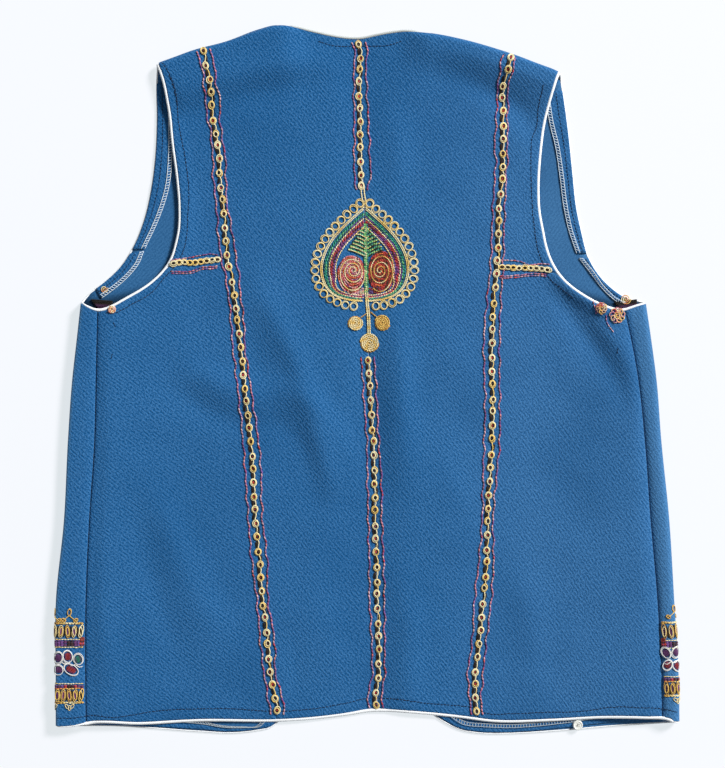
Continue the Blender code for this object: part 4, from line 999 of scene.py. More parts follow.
def strands(paths, ups, radius, sides=6, closed=False, flat=1.0):
    """Round threads: at each point of a middle line, a ring of points in the plane across the line, radius
    wide and flat times as high, with up away from the cloth.  Open threads end in small closed tips."""
    paths = np.asarray(paths, float)
    count, steps = paths.shape[:2]
    ahead = np.roll(paths, -1, axis=1) - np.roll(paths, 1, axis=1) if closed else np.gradient(paths, axis=1)
    ahead /= np.linalg.norm(ahead, axis=-1)[..., None]
    side = np.cross(ahead, np.broadcast_to(ups, paths.shape))
    side /= np.linalg.norm(side, axis=-1)[..., None]
    top = np.cross(side, ahead)
    angle = 2 * math.pi * np.arange(sides) / sides
    size = np.broadcast_to(np.asarray(radius, float), (count, steps)).copy()
    if not closed:
        size[:, [0, -1]] *= THREAD_TIP
    ring = side[:, :, None] * np.cos(angle)[:, None] + flat * top[:, :, None] * np.sin(angle)[:, None]
    points = paths[:, :, None] + size[:, :, None, None] * ring
    index = np.arange(count * steps * sides).reshape(count, steps, sides)
    ends = np.roll(index, -1, axis=1) if closed else index[:, 1:]
    first = index if closed else index[:, :-1]
    turned = [np.roll(part, -1, axis=2) for part in (first, ends)]
    quads = np.stack([first, ends, turned[1], turned[0]], axis=-1).reshape(-1, 4)
    run = np.zeros((count, steps + 1))
    joined = np.concatenate([paths, paths[:, :1]], axis=1)
    run[:, 1:] = np.cumsum(np.linalg.norm(np.diff(joined, axis=1), axis=-1), axis=1)
    cells = steps if closed else steps - 1
    before, after = run[:, :cells], run[:, 1 : cells + 1]
    u = np.stack([before, after, after, before], axis=-1) * MM
    u = np.broadcast_to(u[:, :, None], (count, cells, sides, 4))
    around = np.arange(sides)[:, None] / sides + np.array([0.0, 0.0, 1.0, 1.0]) / sides
    uv = np.stack([u, np.broadcast_to(around, u.shape)], axis=-1).reshape(-1, 2)
    caps = np.zeros((0, sides), int)
    if not closed:
        caps = np.concatenate([index[:, 0], index[:, -1, ::-1]])
    return points.reshape(-1, 3), quads, uv, caps


def thread_piece(name, runs, finish, replaces=None):
    """One mesh of many threads.  Each run is what strands gives, and a colour for each thread or point."""
    points, quads, uvs, dyes, caps, total = [], [], [], [], [], 0
    for (at, faces, uv, ends), shades in runs:
        points.append(at)
        quads.append(faces + total)
        uvs.append(uv)
        caps.append(ends + total)
        shades = np.asarray(shades, float).reshape(-1, 3)
        dyes.append(np.repeat(shades, len(at) // len(shades), axis=0))
        total += len(at)
    points, quads, dyes = place(np.concatenate(points)), np.concatenate(quads), np.concatenate(dyes)
    parts = (quads, *caps)
    corners = np.concatenate([part.ravel() for part in parts]).astype(np.int32)
    counts = np.concatenate([np.full(len(part), part.shape[1]) for part in parts]).astype(np.int32)
    mesh = bpy.data.meshes.new(name)
    mesh.vertices.add(len(points))
    mesh.vertices.foreach_set("co", points.astype(np.float32).ravel())
    mesh.loops.add(len(corners))
    mesh.loops.foreach_set("vertex_index", corners)
    mesh.polygons.add(len(counts))
    mesh.polygons.foreach_set("loop_start", np.append(0, np.cumsum(counts)[:-1]).astype(np.int32))
    mesh.update(calc_edges=True)
    fill_uv(mesh, "thread", np.concatenate([*uvs, np.zeros((len(corners) - quads.size, 2))]))
    colour = mesh.color_attributes.new("dye", "FLOAT_COLOR", "POINT")
    colour.data.foreach_set("color", np.hstack([dyes, np.ones((len(dyes), 1))]).astype(np.float32).ravel())
    mesh.validate()
    mesh.shade_smooth()
    piece = new_piece(name, mesh, (finish,))
    if replaces:
        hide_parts(replaces)
    return piece


# ---------------------------------------------------------------- finishes
def node(tree, kind, **values):
    """A shader node; values that name an input set it, and the others set the node's own properties."""
    made = tree.nodes.new(kind)
    for name, value in values.items():
        if name.startswith("in_"):
            key = name[3:]
            made.inputs[int(key) if key.isdigit() else key].default_value = value
        else:
            setattr(made, name, value)
    return made


def maths(tree, operation, a, b=None, c=None):
    """A math node whose inputs are numbers or sockets."""
    made = tree.nodes.new("ShaderNodeMath")
    made.operation = operation
    for index, value in enumerate((a, b, c)):
        if value is None:
            continue
        if isinstance(value, (int, float)):
            made.inputs[index].default_value = value
        else:
            tree.links.new(value, made.inputs[index])
    return made.outputs[0]


def clamped(value):
    """The outcome of a math node, kept between 0 and 1."""
    value.node.use_clamp = True
    return value


def parts_of(tree, vector):
    """The three parts of a vector."""
    split = tree.nodes.new("ShaderNodeSeparateXYZ")
    tree.links.new(vector, split.inputs[0])
    return tuple(split.outputs)


def mix_colour(tree, share, a, b):
    """A colour mixed from a to b by share; a and b are colours or sockets."""
    made = tree.nodes.new("ShaderNodeMix")
    made.data_type = "RGBA"
    tree.links.new(share, made.inputs[0])
    for index, value in ((6, a), (7, b)):
        if hasattr(value, "default_value"):
            tree.links.new(value, made.inputs[index])
        else:
            made.inputs[index].default_value = (*value, 1.0)
    return made.outputs[2]


def new_group(name, inputs, outputs):
    """An empty shader node group with float inputs and outputs, and its two ends."""
    tree = bpy.data.node_groups.new(name, "ShaderNodeTree")
    for title, default in inputs.items():
        socket = tree.interface.new_socket(title, in_out="INPUT", socket_type="NodeSocketFloat")
        socket.default_value = default
    for title in outputs:
        tree.interface.new_socket(title, in_out="OUTPUT", socket_type="NodeSocketFloat")
    return tree, tree.nodes.new("NodeGroupInput"), tree.nodes.new("NodeGroupOutput")


def twill_group():
    """Diagonal ribs across the flat pattern, broken along their length by the yarns that cross them, with the
    unevenness of the yarn drawn out along the ribs, nap and slow patches of the dye.  Ribs, Yarn, Nap and
    Patches run from 0 to 1, and Height is in metres."""
    found = bpy.data.node_groups.get("twill")
    if found:
        return found
    titles = ("Ribs", "Yarn", "Nap", "Patches", "Height")
    tree, given, out = new_group("twill", {"Pitch": 0.00285, "Float": 0.0021, "Depth": 0.0002}, titles)
    calc = partial(maths, tree)
    uv = node(tree, "ShaderNodeUVMap", uv_map="cloth")
    u, v, _ = parts_of(tree, uv.outputs[0])
    across = calc("ADD", calc("MULTIPLY", u, RIB_ACROSS), calc("MULTIPLY", v, RIB_ALONG))
    lengthwise = calc("SUBTRACT", calc("MULTIPLY", u, RIB_ALONG), calc("MULTIPLY", v, RIB_ACROSS))

    def noise(x_scale, y_scale, detail, gain):
        spot = tree.nodes.new("ShaderNodeCombineXYZ")
        tree.links.new(calc("MULTIPLY", across, x_scale), spot.inputs[0])
        tree.links.new(calc("MULTIPLY", lengthwise, y_scale), spot.inputs[1])
        texture = node(tree, "ShaderNodeTexNoise", in_Scale=1.0, in_Detail=detail, noise_dimensions="2D")
        tree.links.new(spot.outputs[0], texture.inputs["Vector"])
        return clamped(calc("MULTIPLY_ADD", texture.outputs[0], gain, 0.5 - 0.5 * gain))

    wobble = noise(45.0, 30.0, 2.0, 1.0)
    yarn = noise(820.0, 520.0, 1.0, 3.0)
    nap = noise(1500.0, 1300.0, 2.0, 3.0)
    patches = noise(14.0, 11.0, 3.0, 1.6)
    phase = calc("DIVIDE", calc("MULTIPLY", across, 2 * math.pi), given.outputs["Pitch"])
    phase = calc("ADD", phase, calc("MULTIPLY", wobble, 7.0))
    rib = calc("MULTIPLY_ADD", calc("SINE", phase), 0.5, 0.5)
    crossing = calc("DIVIDE", calc("MULTIPLY", lengthwise, 2 * math.pi), given.outputs["Float"])
    crossing = calc("ADD", crossing, calc("MULTIPLY", phase, 0.5))
    step = calc("MULTIPLY_ADD", calc("SINE", crossing), 0.5, 0.5)
    ribs = calc("MULTIPLY", rib, calc("MULTIPLY_ADD", step, 0.5, 0.5))
    height = calc("ADD", calc("MULTIPLY", ribs, 0.55), calc("MULTIPLY", yarn, 0.75))
    height = calc("MULTIPLY", calc("MULTIPLY_ADD", nap, 0.35, height), given.outputs["Depth"])
    for value, title in zip((ribs, yarn, nap, patches, height), titles):
        tree.links.new(value, out.inputs[title])
    return tree


def twist_group():
    """Plies of a twisted thread: slanting stripes round it, from the thread's own length and turn."""
    found = bpy.data.node_groups.get("twist")
    if found:
        return found
    tree, given, out = new_group("twist", {"Ply": 0.0009, "Depth": 0.00012}, ("Plies", "Height"))
    calc = partial(maths, tree)
    uv = node(tree, "ShaderNodeUVMap", uv_map="thread")
    run, round_it, _ = parts_of(tree, uv.outputs[0])
    turns = calc("ADD", calc("DIVIDE", run, given.outputs["Ply"]), round_it)
    plies = calc("MULTIPLY_ADD", calc("SINE", calc("MULTIPLY", turns, 2 * math.pi)), 0.5, 0.5)
    tree.links.new(plies, out.inputs["Plies"])
    tree.links.new(calc("MULTIPLY", plies, given.outputs["Depth"]), out.inputs["Height"])
    return tree


def clouds(tree, scale, detail):
    """Soft noise across a piece, by its place."""
    texture = node(tree, "ShaderNodeTexNoise", in_Scale=scale, in_Detail=detail)
    spot = node(tree, "ShaderNodeTexCoord")
    tree.links.new(spot.outputs["Object"], texture.inputs["Vector"])
    return texture.outputs[0]


def start_material(name, roughness, **surface_values):
    """A Principled material with its plain values set on their own sockets."""
    made = bpy.data.materials.new(name)
    made.use_nodes = True
    tree = made.node_tree
    surface = tree.nodes["Principled BSDF"]
    surface.inputs["Roughness"].default_value = roughness
    for key, value in surface_values.items():
        surface.inputs[key.replace("_", " ")].default_value = value
    return made, tree, surface


def use_group(tree, group, **values):
    """A node group placed in a material with its own values."""
    made = tree.nodes.new("ShaderNodeGroup")
    made.node_tree = group
    for key, value in values.items():
        made.inputs[key].default_value = value
    return made


def bump(tree, surface, height):
    """Feeds a height into the surface's normal."""
    made = node(tree, "ShaderNodeBump", in_Strength=1.0, in_Distance=1.0)
    tree.links.new(height, made.inputs["Height"])
    tree.links.new(made.outputs[0], surface.inputs["Normal"])


@lru_cache(maxsize=None)
def twill(name, low, high, depth, inner=False):
    """Wool twill: dark between the ribs and light on them, uneven with its yarn and nap; painted light makes
    it a little paler over the vest's right half, painted shade makes it darker towards the top, painted sheen
    makes it paler where it turns away from the eye, and painted light makes it paler along the side folds; an
    inner face gets painted shade where it is hardly open to the light."""
    made, tree, surface = start_material(
        name, 0.92, Sheen_Weight=0.30, Sheen_Roughness=0.25, Specular_IOR_Level=0.12
    )
    calc = partial(maths, tree)
    weave = use_group(tree, twill_group(), Depth=depth)
    share = calc("MULTIPLY_ADD", weave.outputs["Yarn"], 0.77, -0.295)
    share = calc("MULTIPLY_ADD", weave.outputs["Nap"], 0.43, share)
    share = calc("MULTIPLY_ADD", weave.outputs["Ribs"], 0.56, share)
    x, y, _ = parts_of(tree, node(tree, "ShaderNodeTexCoord").outputs["Object"])
    # painted shade: the twill is darkened towards the top of the vest
    top_shade = clamped(calc("MULTIPLY_ADD", y, 8.0, -1.0))
    share = calc("MULTIPLY_ADD", top_shade, -0.12, share)
    # painted light: the twill is made paler towards the vest's right, nearer the lamp
    right_light = clamped(calc("MULTIPLY_ADD", x, 10.0, calc("MULTIPLY_ADD", y, 0.8, -0.3)))
    shades = [mix_colour(tree, right_light, tuple(shade), tuple(shade + RIGHT_LIGHT_GAIN)) for shade in np.array([low, high])]
    base = mix_colour(tree, share, *shades)
    patches = clamped(calc("MULTIPLY_ADD", weave.outputs["Patches"], 0.5, -0.18))
    base = mix_colour(tree, patches, base, tuple(0.80 * value for value in low))
    # painted sheen: the colour goes paler where the cloth turns away from the eye, and painted light makes it
    # paler along the side folds
    facing = node(tree, "ShaderNodeLayerWeight", in_Blend=0.5).outputs["Facing"]
    turned = clamped(calc("MULTIPLY_ADD", facing, 2.4, -1.7))
    turned = calc("MAXIMUM", turned, node(tree, "ShaderNodeAttribute", attribute_name="worn").outputs["Fac"])
    base = mix_colour(tree, turned, base, tuple(dye("nap")))
    # painted shade: an inner face is darkened where the open attribute is low, under the back's armhole edges
    if inner:
        light = node(tree, "ShaderNodeAttribute", attribute_name="open")
        base = mix_colour(tree, light.outputs["Fac"], tuple(0.1 * value for value in low), base)
    tree.links.new(base, surface.inputs["Base Color"])
    bump(tree, surface, weave.outputs["Height"])
    return made


@lru_cache(maxsize=None)
def thread(name):
    """Twisted thread in its own dye, with painted shade between the plies."""
    _, roughness, ply, depth, metallic, ply_shade = THREADS[name]
    made, tree, surface = start_material(
        name, roughness, Metallic=metallic, Sheen_Weight=0.12, Specular_IOR_Level=0.5 if metallic else 0.2
    )
    twist = use_group(tree, twist_group(), Ply=ply, Depth=depth)
    dyed = node(tree, "ShaderNodeAttribute", attribute_name="dye").outputs["Color"]
    # painted shade: the dye is darkened between the plies
    darker = node(tree, "ShaderNodeHueSaturation", in_Value=1.0 - ply_shade)
    tree.links.new(dyed, darker.inputs["Color"])
    base = mix_colour(tree, twist.outputs["Plies"], darker.outputs[0], dyed)
    tree.links.new(base, surface.inputs["Base Color"])
    bump(tree, surface, twist.outputs["Height"])
    return made


@lru_cache(maxsize=None)
def cotton(name, colour):
    """Smooth cotton over a cord: a fine slanting weave round the piping."""
    made, tree, surface = start_material(name, 0.7, Sheen_Weight=0.2, Specular_IOR_Level=0.3)
    twist = use_group(tree, twist_group(), Ply=0.0016, Depth=0.00004)
    base = dye(colour)
    shaded_base = mix_colour(tree, twist.outputs["Plies"], tuple(base * 0.93), tuple(base))
    tree.links.new(shaded_base, surface.inputs["Base Color"])
    bump(tree, surface, twist.outputs["Height"])
    return made


def sewn(name, runs, kind):
    """One mesh of many threads of one kind."""
    return thread_piece(name, runs, thread(kind))


def sizes():
    """The vest's sizes, as set in the panel."""
    return bpy.context.scene.vest_sizes


def colours():
    """The vest's colours, as set in the panel."""
    return bpy.context.scene.vest_colours


def dye(name):
    """One of the vest's colours as three numbers."""
    return np.array(getattr(colours(), name)[:])


def right_side():
    """The twill's right side."""
    return twill("wool_twill", tuple(dye("twill_low")), tuple(dye("twill_high")), 0.00022)


def wrong_side():
    """The twill's duller wrong side, with painted shade under the back's armhole edges."""
    return twill("wool_wrong_side", tuple(dye("inside_low")), tuple(dye("inside_high")), 0.00006, True)


def shaded(dyes, parameter):
    """A variegated thread's colour along its length: it runs through its dyes and back."""
    stops = np.array([dye(name) for name in dyes])
    at = (0.5 - 0.5 * np.cos(parameter)) * (len(stops) - 1)
    return np.stack([np.interp(at, np.arange(len(stops)), stops[:, i]) for i in range(3)], axis=-1)


# ---------------------------------------------------------------- threads laid on the vest
def laid(flat, height, radius, sides=6, closed=False):
    """Threads on the back: their middle lines follow its outer face, raised by height."""
    return strands(on_back(flat, height), UP, radius, sides, closed)


def clipped(line):
    """The part of a line that lies on the back, clear of its hem and of its shoulder and neck edges."""
    keep = (line[:, 1] < top_line(line[:, 0]) - EDGE_CLEAR) & (line[:, 1] > back_hem(line[:, 0]) + EDGE_CLEAR)
    return line[keep]


def table_line(rows, index, seed, sway):
    """One line of a table whose first column is y, swaying by hand: two waves added up."""
    rows = np.array(sorted(rows), float)
    y = np.arange(rows[0, 0], rows[-1, 0], 1.5)
    x = smooth(rows[:, 0], rows[:, index], y)[:, 0]
    x = x + sway * (np.sin(2 * math.pi * y / 15.3 + seed) + 0.7 * np.sin(2 * math.pi * y / 24.7 + 2.1 * seed))
    return clipped(np.stack([x, y], axis=1))


def stitched(line, pitch, length, radius, dyes, seed, height=0.45, period=70.0, wander=0.12, across=0.0):
    """A row of short stitches along a line, each dipping into the cloth at both ends, in a thread whose dye
    changes slowly along the row; across leans every stitch to the side."""
    random = np.random.default_rng(seed)
    count = max(int(lengths(line)[-1] / pitch), 1)
    centres = (np.arange(count) + 0.5) * pitch + random.uniform(-wander, wander, count) * pitch
    span = length * random.uniform(0.85, 1.1, count)
    flat = along(line, np.clip(centres[:, None] + span[:, None] * STITCH_SHARE, 0.0, None))
    ahead = flat[:, -1:] - flat[:, :1]
    ahead /= np.maximum(np.linalg.norm(ahead, axis=-1), 1e-6)[..., None]
    aside = np.stack([-ahead[..., 1], ahead[..., 0]], axis=-1)
    flat = flat + aside * (STITCH_SHARE[:, None] * across * span[:, None, None])
    flat = flat + random.normal(0.0, 0.09, (count, 1, 2))
    stray = random.normal(0.0, 0.45, count)
    dyed = shaded(dyes, 2 * math.pi * centres / period + seed + stray) * random.uniform(0.75, 1.2, (count, 1))
    return laid(flat, height * STITCH_RISE[None], radius), dyed


def corded(line, radius, dyes, seed, height=None, period=40.0):
    """A cord couched along a line: plies wound round each other, each dyed along its length."""
    run = np.arange(0.0, lengths(line)[-1], 0.9)
    middle = along(line, run)
    ahead = np.gradient(middle, axis=0)
    ahead /= np.linalg.norm(ahead, axis=1)[:, None]
    aside = np.stack([-ahead[:, 1], ahead[:, 0]], axis=1)
    winding = 2 * math.pi * run / (7.0 * radius) + seed
    phase = winding + 2 * math.pi * np.arange(PLIES)[:, None] / PLIES
    ply = 0.62 * radius
    flat = middle + aside * (ply * np.cos(phase))[..., None]
    rise = (radius if height is None else height) + 0.55 * radius * np.sin(phase)
    dyed = np.broadcast_to(shaded(dyes, 2 * math.pi * run / period + seed), (PLIES, len(run), 3))
    return laid(flat, rise, ply), dyed


def looped(
    centres, headings, long, wide, seed, dyes,
    radius=0.42, height=0.5, coils=2, steps=14, shrink=0.17, place_on=None,
):
    """Rings of one or two turns of thread: ellipses, the second smaller, each tilted and turned by hand."""
    random = np.random.default_rng(seed)
    count = len(centres)
    angle = 2 * math.pi * np.arange(steps) / steps
    lay = place_on or (lambda flat, rise, radius: laid(flat, rise, radius, sides=5, closed=True))
    runs = []
    for coil in range(coils):
        size = 1.0 - shrink * coil
        a = (long * size * random.uniform(0.93, 1.07, count))[:, None] * np.cos(angle)
        b = (wide * size * random.uniform(0.9, 1.1, count))[:, None] * np.sin(angle)
        turned = headings + random.normal(0.0, 0.12, count)
        c, s = np.cos(turned)[:, None], np.sin(turned)[:, None]
        middle = centres + random.normal(0.0, 0.18, (count, 2))
        flat = np.stack([middle[:, :1] + a * c - b * s, middle[:, 1:] + a * s + b * c], axis=-1)
        rise = height + 0.55 * radius * coil + 0.25 * radius * np.cos(angle + 2.1 * coil)
        rise = np.broadcast_to(rise, flat.shape[:2])
        dyed = shaded(dyes, random.uniform(0.0, math.pi, count)) * random.uniform(0.85, 1.12, (count, 1))
        runs.append((lay(flat, rise, radius), dyed))
    return runs


def heading_at(line, at):
    """The line's heading at lengths along it."""
    ahead = along(line, at + 0.5) - along(line, at - 0.5)
    return np.arctan2(ahead[:, 1], ahead[:, 0])


def spaced(line, pitch, first, seed, jitter):
    """Places along a line about pitch apart, from first to as far from its end, with the line's headings."""
    random = np.random.default_rng(seed)
    total = lengths(line)[-1]
    count = int(round((total - 2 * first) / pitch)) + 1
    at = np.linspace(first, total - first, count) + random.uniform(-jitter, jitter, count) * pitch
    return at, along(line, at), heading_at(line, at)


def links(line, at, long, seed):
    """The thread that runs from each ring to the next, bowed to the right of the seam."""
    random = np.random.default_rng(seed)
    share = np.linspace(0.0, 1.0, 9)
    ends = (at[1:] - at[:-1])[:, None] - 1.3 * long
    run = at[:-1, None] + 0.65 * long + share * ends
    flat = along(line, run)
    bow = 0.9 * random.uniform(0.5, 1.3, len(run))[:, None] * np.sin(math.pi * share)
    bow = bow + 0.45 * random.uniform(-1.0, 1.0, len(run))[:, None] * np.sin(2 * math.pi * share)
    flat = flat + np.stack([bow, np.zeros(bow.shape)], axis=-1)
    rise = np.broadcast_to(0.45 + 0.35 * np.sin(math.pi * share), run.shape)
    return laid(flat, rise, 0.5), shaded(PALE, random.uniform(0, math.pi, len(run)))


def seam_threads(rows, seed):
    """Threads of one embroidered seam: rings and links, dashed lines at both sides, and dark braid that shows
    beside the links."""
    middle = table_line(rows, 2, seed, 0.25)
    left, right = (table_line(rows, index, seed, 0.55) for index in (1, 3))
    long, wide, pitch = SEAM_RING
    at, centres, headings = spaced(middle, pitch, 3.0, seed, 0.13)
    gold = looped(centres, headings, long, wide, seed, PALE, radius=0.52, height=0.8, shrink=0.27)
    gold.append(links(middle, at, long, seed + 1))
    dyes = ("braid_brown", "red")
    colour = looped(centres, headings, 0.8, 0.55, seed, dyes, radius=0.5, height=0.4, coils=1, steps=8)
    # each dashed line: bright stitches, with violet ones lower down between them
    lows = ("violet", "purple", "braid_brown")
    for line, shift in ((left, 0), (right, 7)):
        colour.append(stitched(line, 3.0, 2.5, 0.6, REDS, seed + shift, height=0.6, period=95.0, across=0.15))
        colour.append(stitched(line[1:], 3.0, 2.4, 0.6, lows, seed + shift, height=0.3, period=60.0))
    random = np.random.default_rng(seed)
    gaps = along(middle, 0.5 * (at[1:] + at[:-1]) + random.uniform(-0.8, 0.8, len(at) - 1))
    gaps[:, 0] += np.where(random.uniform(0.0, 1.0, len(gaps)) < 0.8, -1.25, 1.1)
    braid = looped(gaps, headings[1:], 2.7, 0.7, seed, DARKS, radius=0.55, height=0.25, shrink=0.4)
    return gold, colour, braid


def leaf_half(inward):
    """Right half of the leaf's outline, from its point to its foot, moved in, and less so near the foot."""
    half = path(LEAF_HALF, step=0.8)
    narrow = 1.0 if inward < 0 else 0.36 + 0.64 * (1.0 - bell((half[:, 1] - 65.5) / 19.0))
    moved = inset(half, -inward * narrow * np.ones(len(half)))
    return moved[moved[:, 0] > 0.15]


def leaf_sides(inward):
    """Both halves of the leaf's outline, moved in, from its point down."""
    half = leaf_half(inward)
    return [np.stack([LEAF_X + sign * half[:, 0], half[:, 1]], axis=1) for sign in (-1.0, 1.0)]


def spiral(x, y, radius, turns, hand, start, drawn=0.0, shift=(0.0, 0.0)):
    """A flat spiral from its middle out: the radius grows evenly with the angle, and its outer turns are
    drawn out lengthways and shifted by shares that grow with the radius."""
    share = np.linspace(SPIRAL_CORE, 1.0, int(radius * turns * 6))
    angle = hand * (2 * math.pi * turns * share + start)
    tall = 1.0 + drawn * share**2
    x, y = x + shift[0] * share**2, y + shift[1] * share**2
    return np.stack([x + radius * share * np.cos(angle), y + radius * tall * share * np.sin(angle)], axis=1)


# ---------------------------------------------------------------- settings
def length_setting(title, description, default):
    """A length the user may change, in metres."""
    return bpy.props.FloatProperty(
        name=title, description=description, default=default, min=0.0,
        unit="LENGTH", subtype="DISTANCE", precision=5,
    )


def colour_setting(title, description, default):
    """A colour the user may change."""
    return bpy.props.FloatVectorProperty(
        name=title, description=description, default=default, min=0.0, max=1.0, size=3, subtype="COLOR"
    )


class VestSizes(bpy.types.PropertyGroup):
    """The vest's sizes"""

    cloth: length_setting("Cloth", "Thickness of the wool twill", 0.0015)
    facing: length_setting("Facing", "Thickness of a facing", 0.001)
    piping: length_setting("Piping", "Radius of the piping seen in full", 0.0013)
    flat_piping: length_setting("Pressed piping", "Radius of the piping pressed under the fronts", 0.00075)
    neck_piping: length_setting("Neck piping", "Radius of the thin piping at the neck", 0.0012)
    button: length_setting("Button", "Radius of the small button", 0.0043)
    camera_height: length_setting("Camera height", "Height of the camera above the cloth", 1.8)


class VestColours(bpy.types.PropertyGroup):
    """The vest's colours"""

    twill_low: colour_setting("Twill, low", "Blue between the ribs", (0.0022, 0.072, 0.216))
    twill_high: colour_setting("Twill, high", "Blue on the ribs", (0.0435, 0.168, 0.385))
    # painted sheen and painted light: the colour the twill goes towards where it turns away from the eye and
    # along the side folds
    nap: colour_setting("Nap", "Blue of the nap where the cloth is seen edge on", (0.11, 0.27, 0.47))
    inside_low: colour_setting("Wrong side, low", "Its blue between the ribs", (0.020, 0.100, 0.245))
    inside_high: colour_setting("Wrong side, high", "Its blue on the ribs", (0.040, 0.150, 0.330))
    white: colour_setting("Piping", "White cotton piping", (0.90, 0.93, 0.95))
    cream: colour_setting("Neck piping", "Cream piping at the neck", (0.50, 0.53, 0.52))
    gold: colour_setting("Gold", "Gold thread", (0.94, 0.64, 0.16))
    gold_deep: colour_setting("Gold, deep", "Gold thread in its darker stretches", (0.66, 0.36, 0.06))
    gold_pale: colour_setting("Gold, pale", "Gold thread in its paler stretches", (1.00, 0.88, 0.52))
    red: colour_setting("Red", "Crimson thread", (0.60, 0.055, 0.045))
    pink: colour_setting("Pink", "Pink thread", (0.80, 0.30, 0.34))
    rose: colour_setting("Rose", "Pale rose thread", (0.90, 0.55, 0.55))
    violet: colour_setting("Violet", "Blue-violet thread", (0.22, 0.10, 0.36))
    purple: colour_setting("Purple", "Purple thread", (0.20, 0.055, 0.22))
    orange: colour_setting("Orange", "Orange thread", (0.80, 0.20, 0.05))
    teal: colour_setting("Teal", "Teal thread", (0.03, 0.36, 0.25))
    teal_deep: colour_setting("Teal, deep", "Teal thread in its darker stretches", (0.02, 0.14, 0.15))
    green: colour_setting("Green", "Green thread", (0.22, 0.62, 0.22))
    braid: colour_setting("Braid", "Near-black braid", (0.014, 0.012, 0.010))
    braid_brown: colour_setting("Braid, brown", "Brown stretches of the braid", (0.045, 0.024, 0.012))
    bright: colour_setting("White thread", "White embroidery thread", (0.85, 0.84, 0.81))
    navy: colour_setting("Machine thread", "Dark blue machine stitches", (0.004, 0.026, 0.080))
    overlock: colour_setting("Overlock thread", "Pale overlock thread", (0.80, 0.92, 1.00))
    pearl: colour_setting("Button", "Pearl of the small button", (0.80, 0.81, 0.76))
    ground: colour_setting("Ground", "Pale ground the vest lies on", (0.209, 0.190, 0.213))


# ---------------------------------------------------------------- pieces
def pattern_of(points):
    """Flat pattern of a grid: x as it lies, and y carried on by the way along the cloth up each column."""
    step = np.hypot(np.diff(points[..., 1], axis=0), np.diff(points[..., 2], axis=0))
    way = np.concatenate([np.zeros((1, points.shape[1])), np.cumsum(step, axis=0)])
    return np.stack([points[..., 0], points[:1, :, 1] + way], axis=-1)


def wrap_patterns(side, lower, upper, wrap):
    """Flat patterns of a front's three grids: from the side seam the cloth's own way round the fold is taken
    off x, and the flat part below is carried on from there as its right side faces down."""
    step = np.hypot(np.diff(wrap[..., 0], axis=1), np.diff(wrap[..., 2], axis=1))
    run = np.concatenate([np.cumsum(step[:, ::-1], axis=1)[:, ::-1], np.zeros((len(wrap), 1))], axis=1)
    u = wrap[:, -1:, 0] - INWARD[side] * run
    over = np.stack([u, wrap[..., 1]], axis=-1)
    under = np.stack([u[:, :1] - (lower[..., 0] - lower[:, :1, 0]), lower[..., 1]], axis=-1)
    above = pattern_of(upper)
    above[..., 0] = u[-1, 0] + lower[-1, 0, 0] - above[..., 0]
    return under, above, over


def facing_strips():
    """Outer face of each facing: a narrow strip between its outer and overlocked edges, slightly uneven."""
    strips = {}
    for (side, half), (rows, (start, end)) in ARMHOLE_FACINGS.items():
        outer = inset(path(FRONT_ARMHOLE[side]), np.array(INWARD[side] * FACING_SETBACK))
        outer = outer[(outer[:, 1] < start) & (outer[:, 1] > end)]
        strips["armhole_facing_" + side + "_" + half] = (outer, path(rows), side == LEFT)
    for side, (outer, inner) in HEM_FACINGS.items():
        strips["hem_facing_" + side] = (path(outer), path(inner), True)
    result = {}
    for name, (outer, inner, flip) in strips.items():
        count = int(lengths(inner)[-1] / 2.5)
        share = np.linspace(0.0, 1.0, count + 1)
        outer = along(outer, share * lengths(outer)[-1])
        inner = along(inner, share * lengths(inner)[-1])
        across = np.array([0.0, 0.06, 0.2, 0.4, 0.6, 0.8, 0.94, 1.0])
        flat = outer[:, None] * (1 - across)[:, None] + inner[:, None] * across[:, None]
        number = share[:, None] * count
        wave = 0.12 * np.sin(number * 0.55 + 4 * across) + 0.08 * np.sin(number * 1.3)
        edge = 0.35 * np.maximum(1.0 - np.minimum(across, 1.0 - across) / 0.2, 0.0) ** 2
        result[name] = (grid(flat[..., 0], flat[..., 1], FACING_LIE - 0.15 + wave - edge), flip)
    return result


def facing_out(points, sign):
    """Unit normals of a grid: the cross product of its two directions, times sign."""
    normal = np.cross(np.gradient(points, axis=1), np.gradient(points, axis=0)) * sign
    return normal / np.maximum(np.linalg.norm(normal, axis=-1), 1e-9)[..., None]


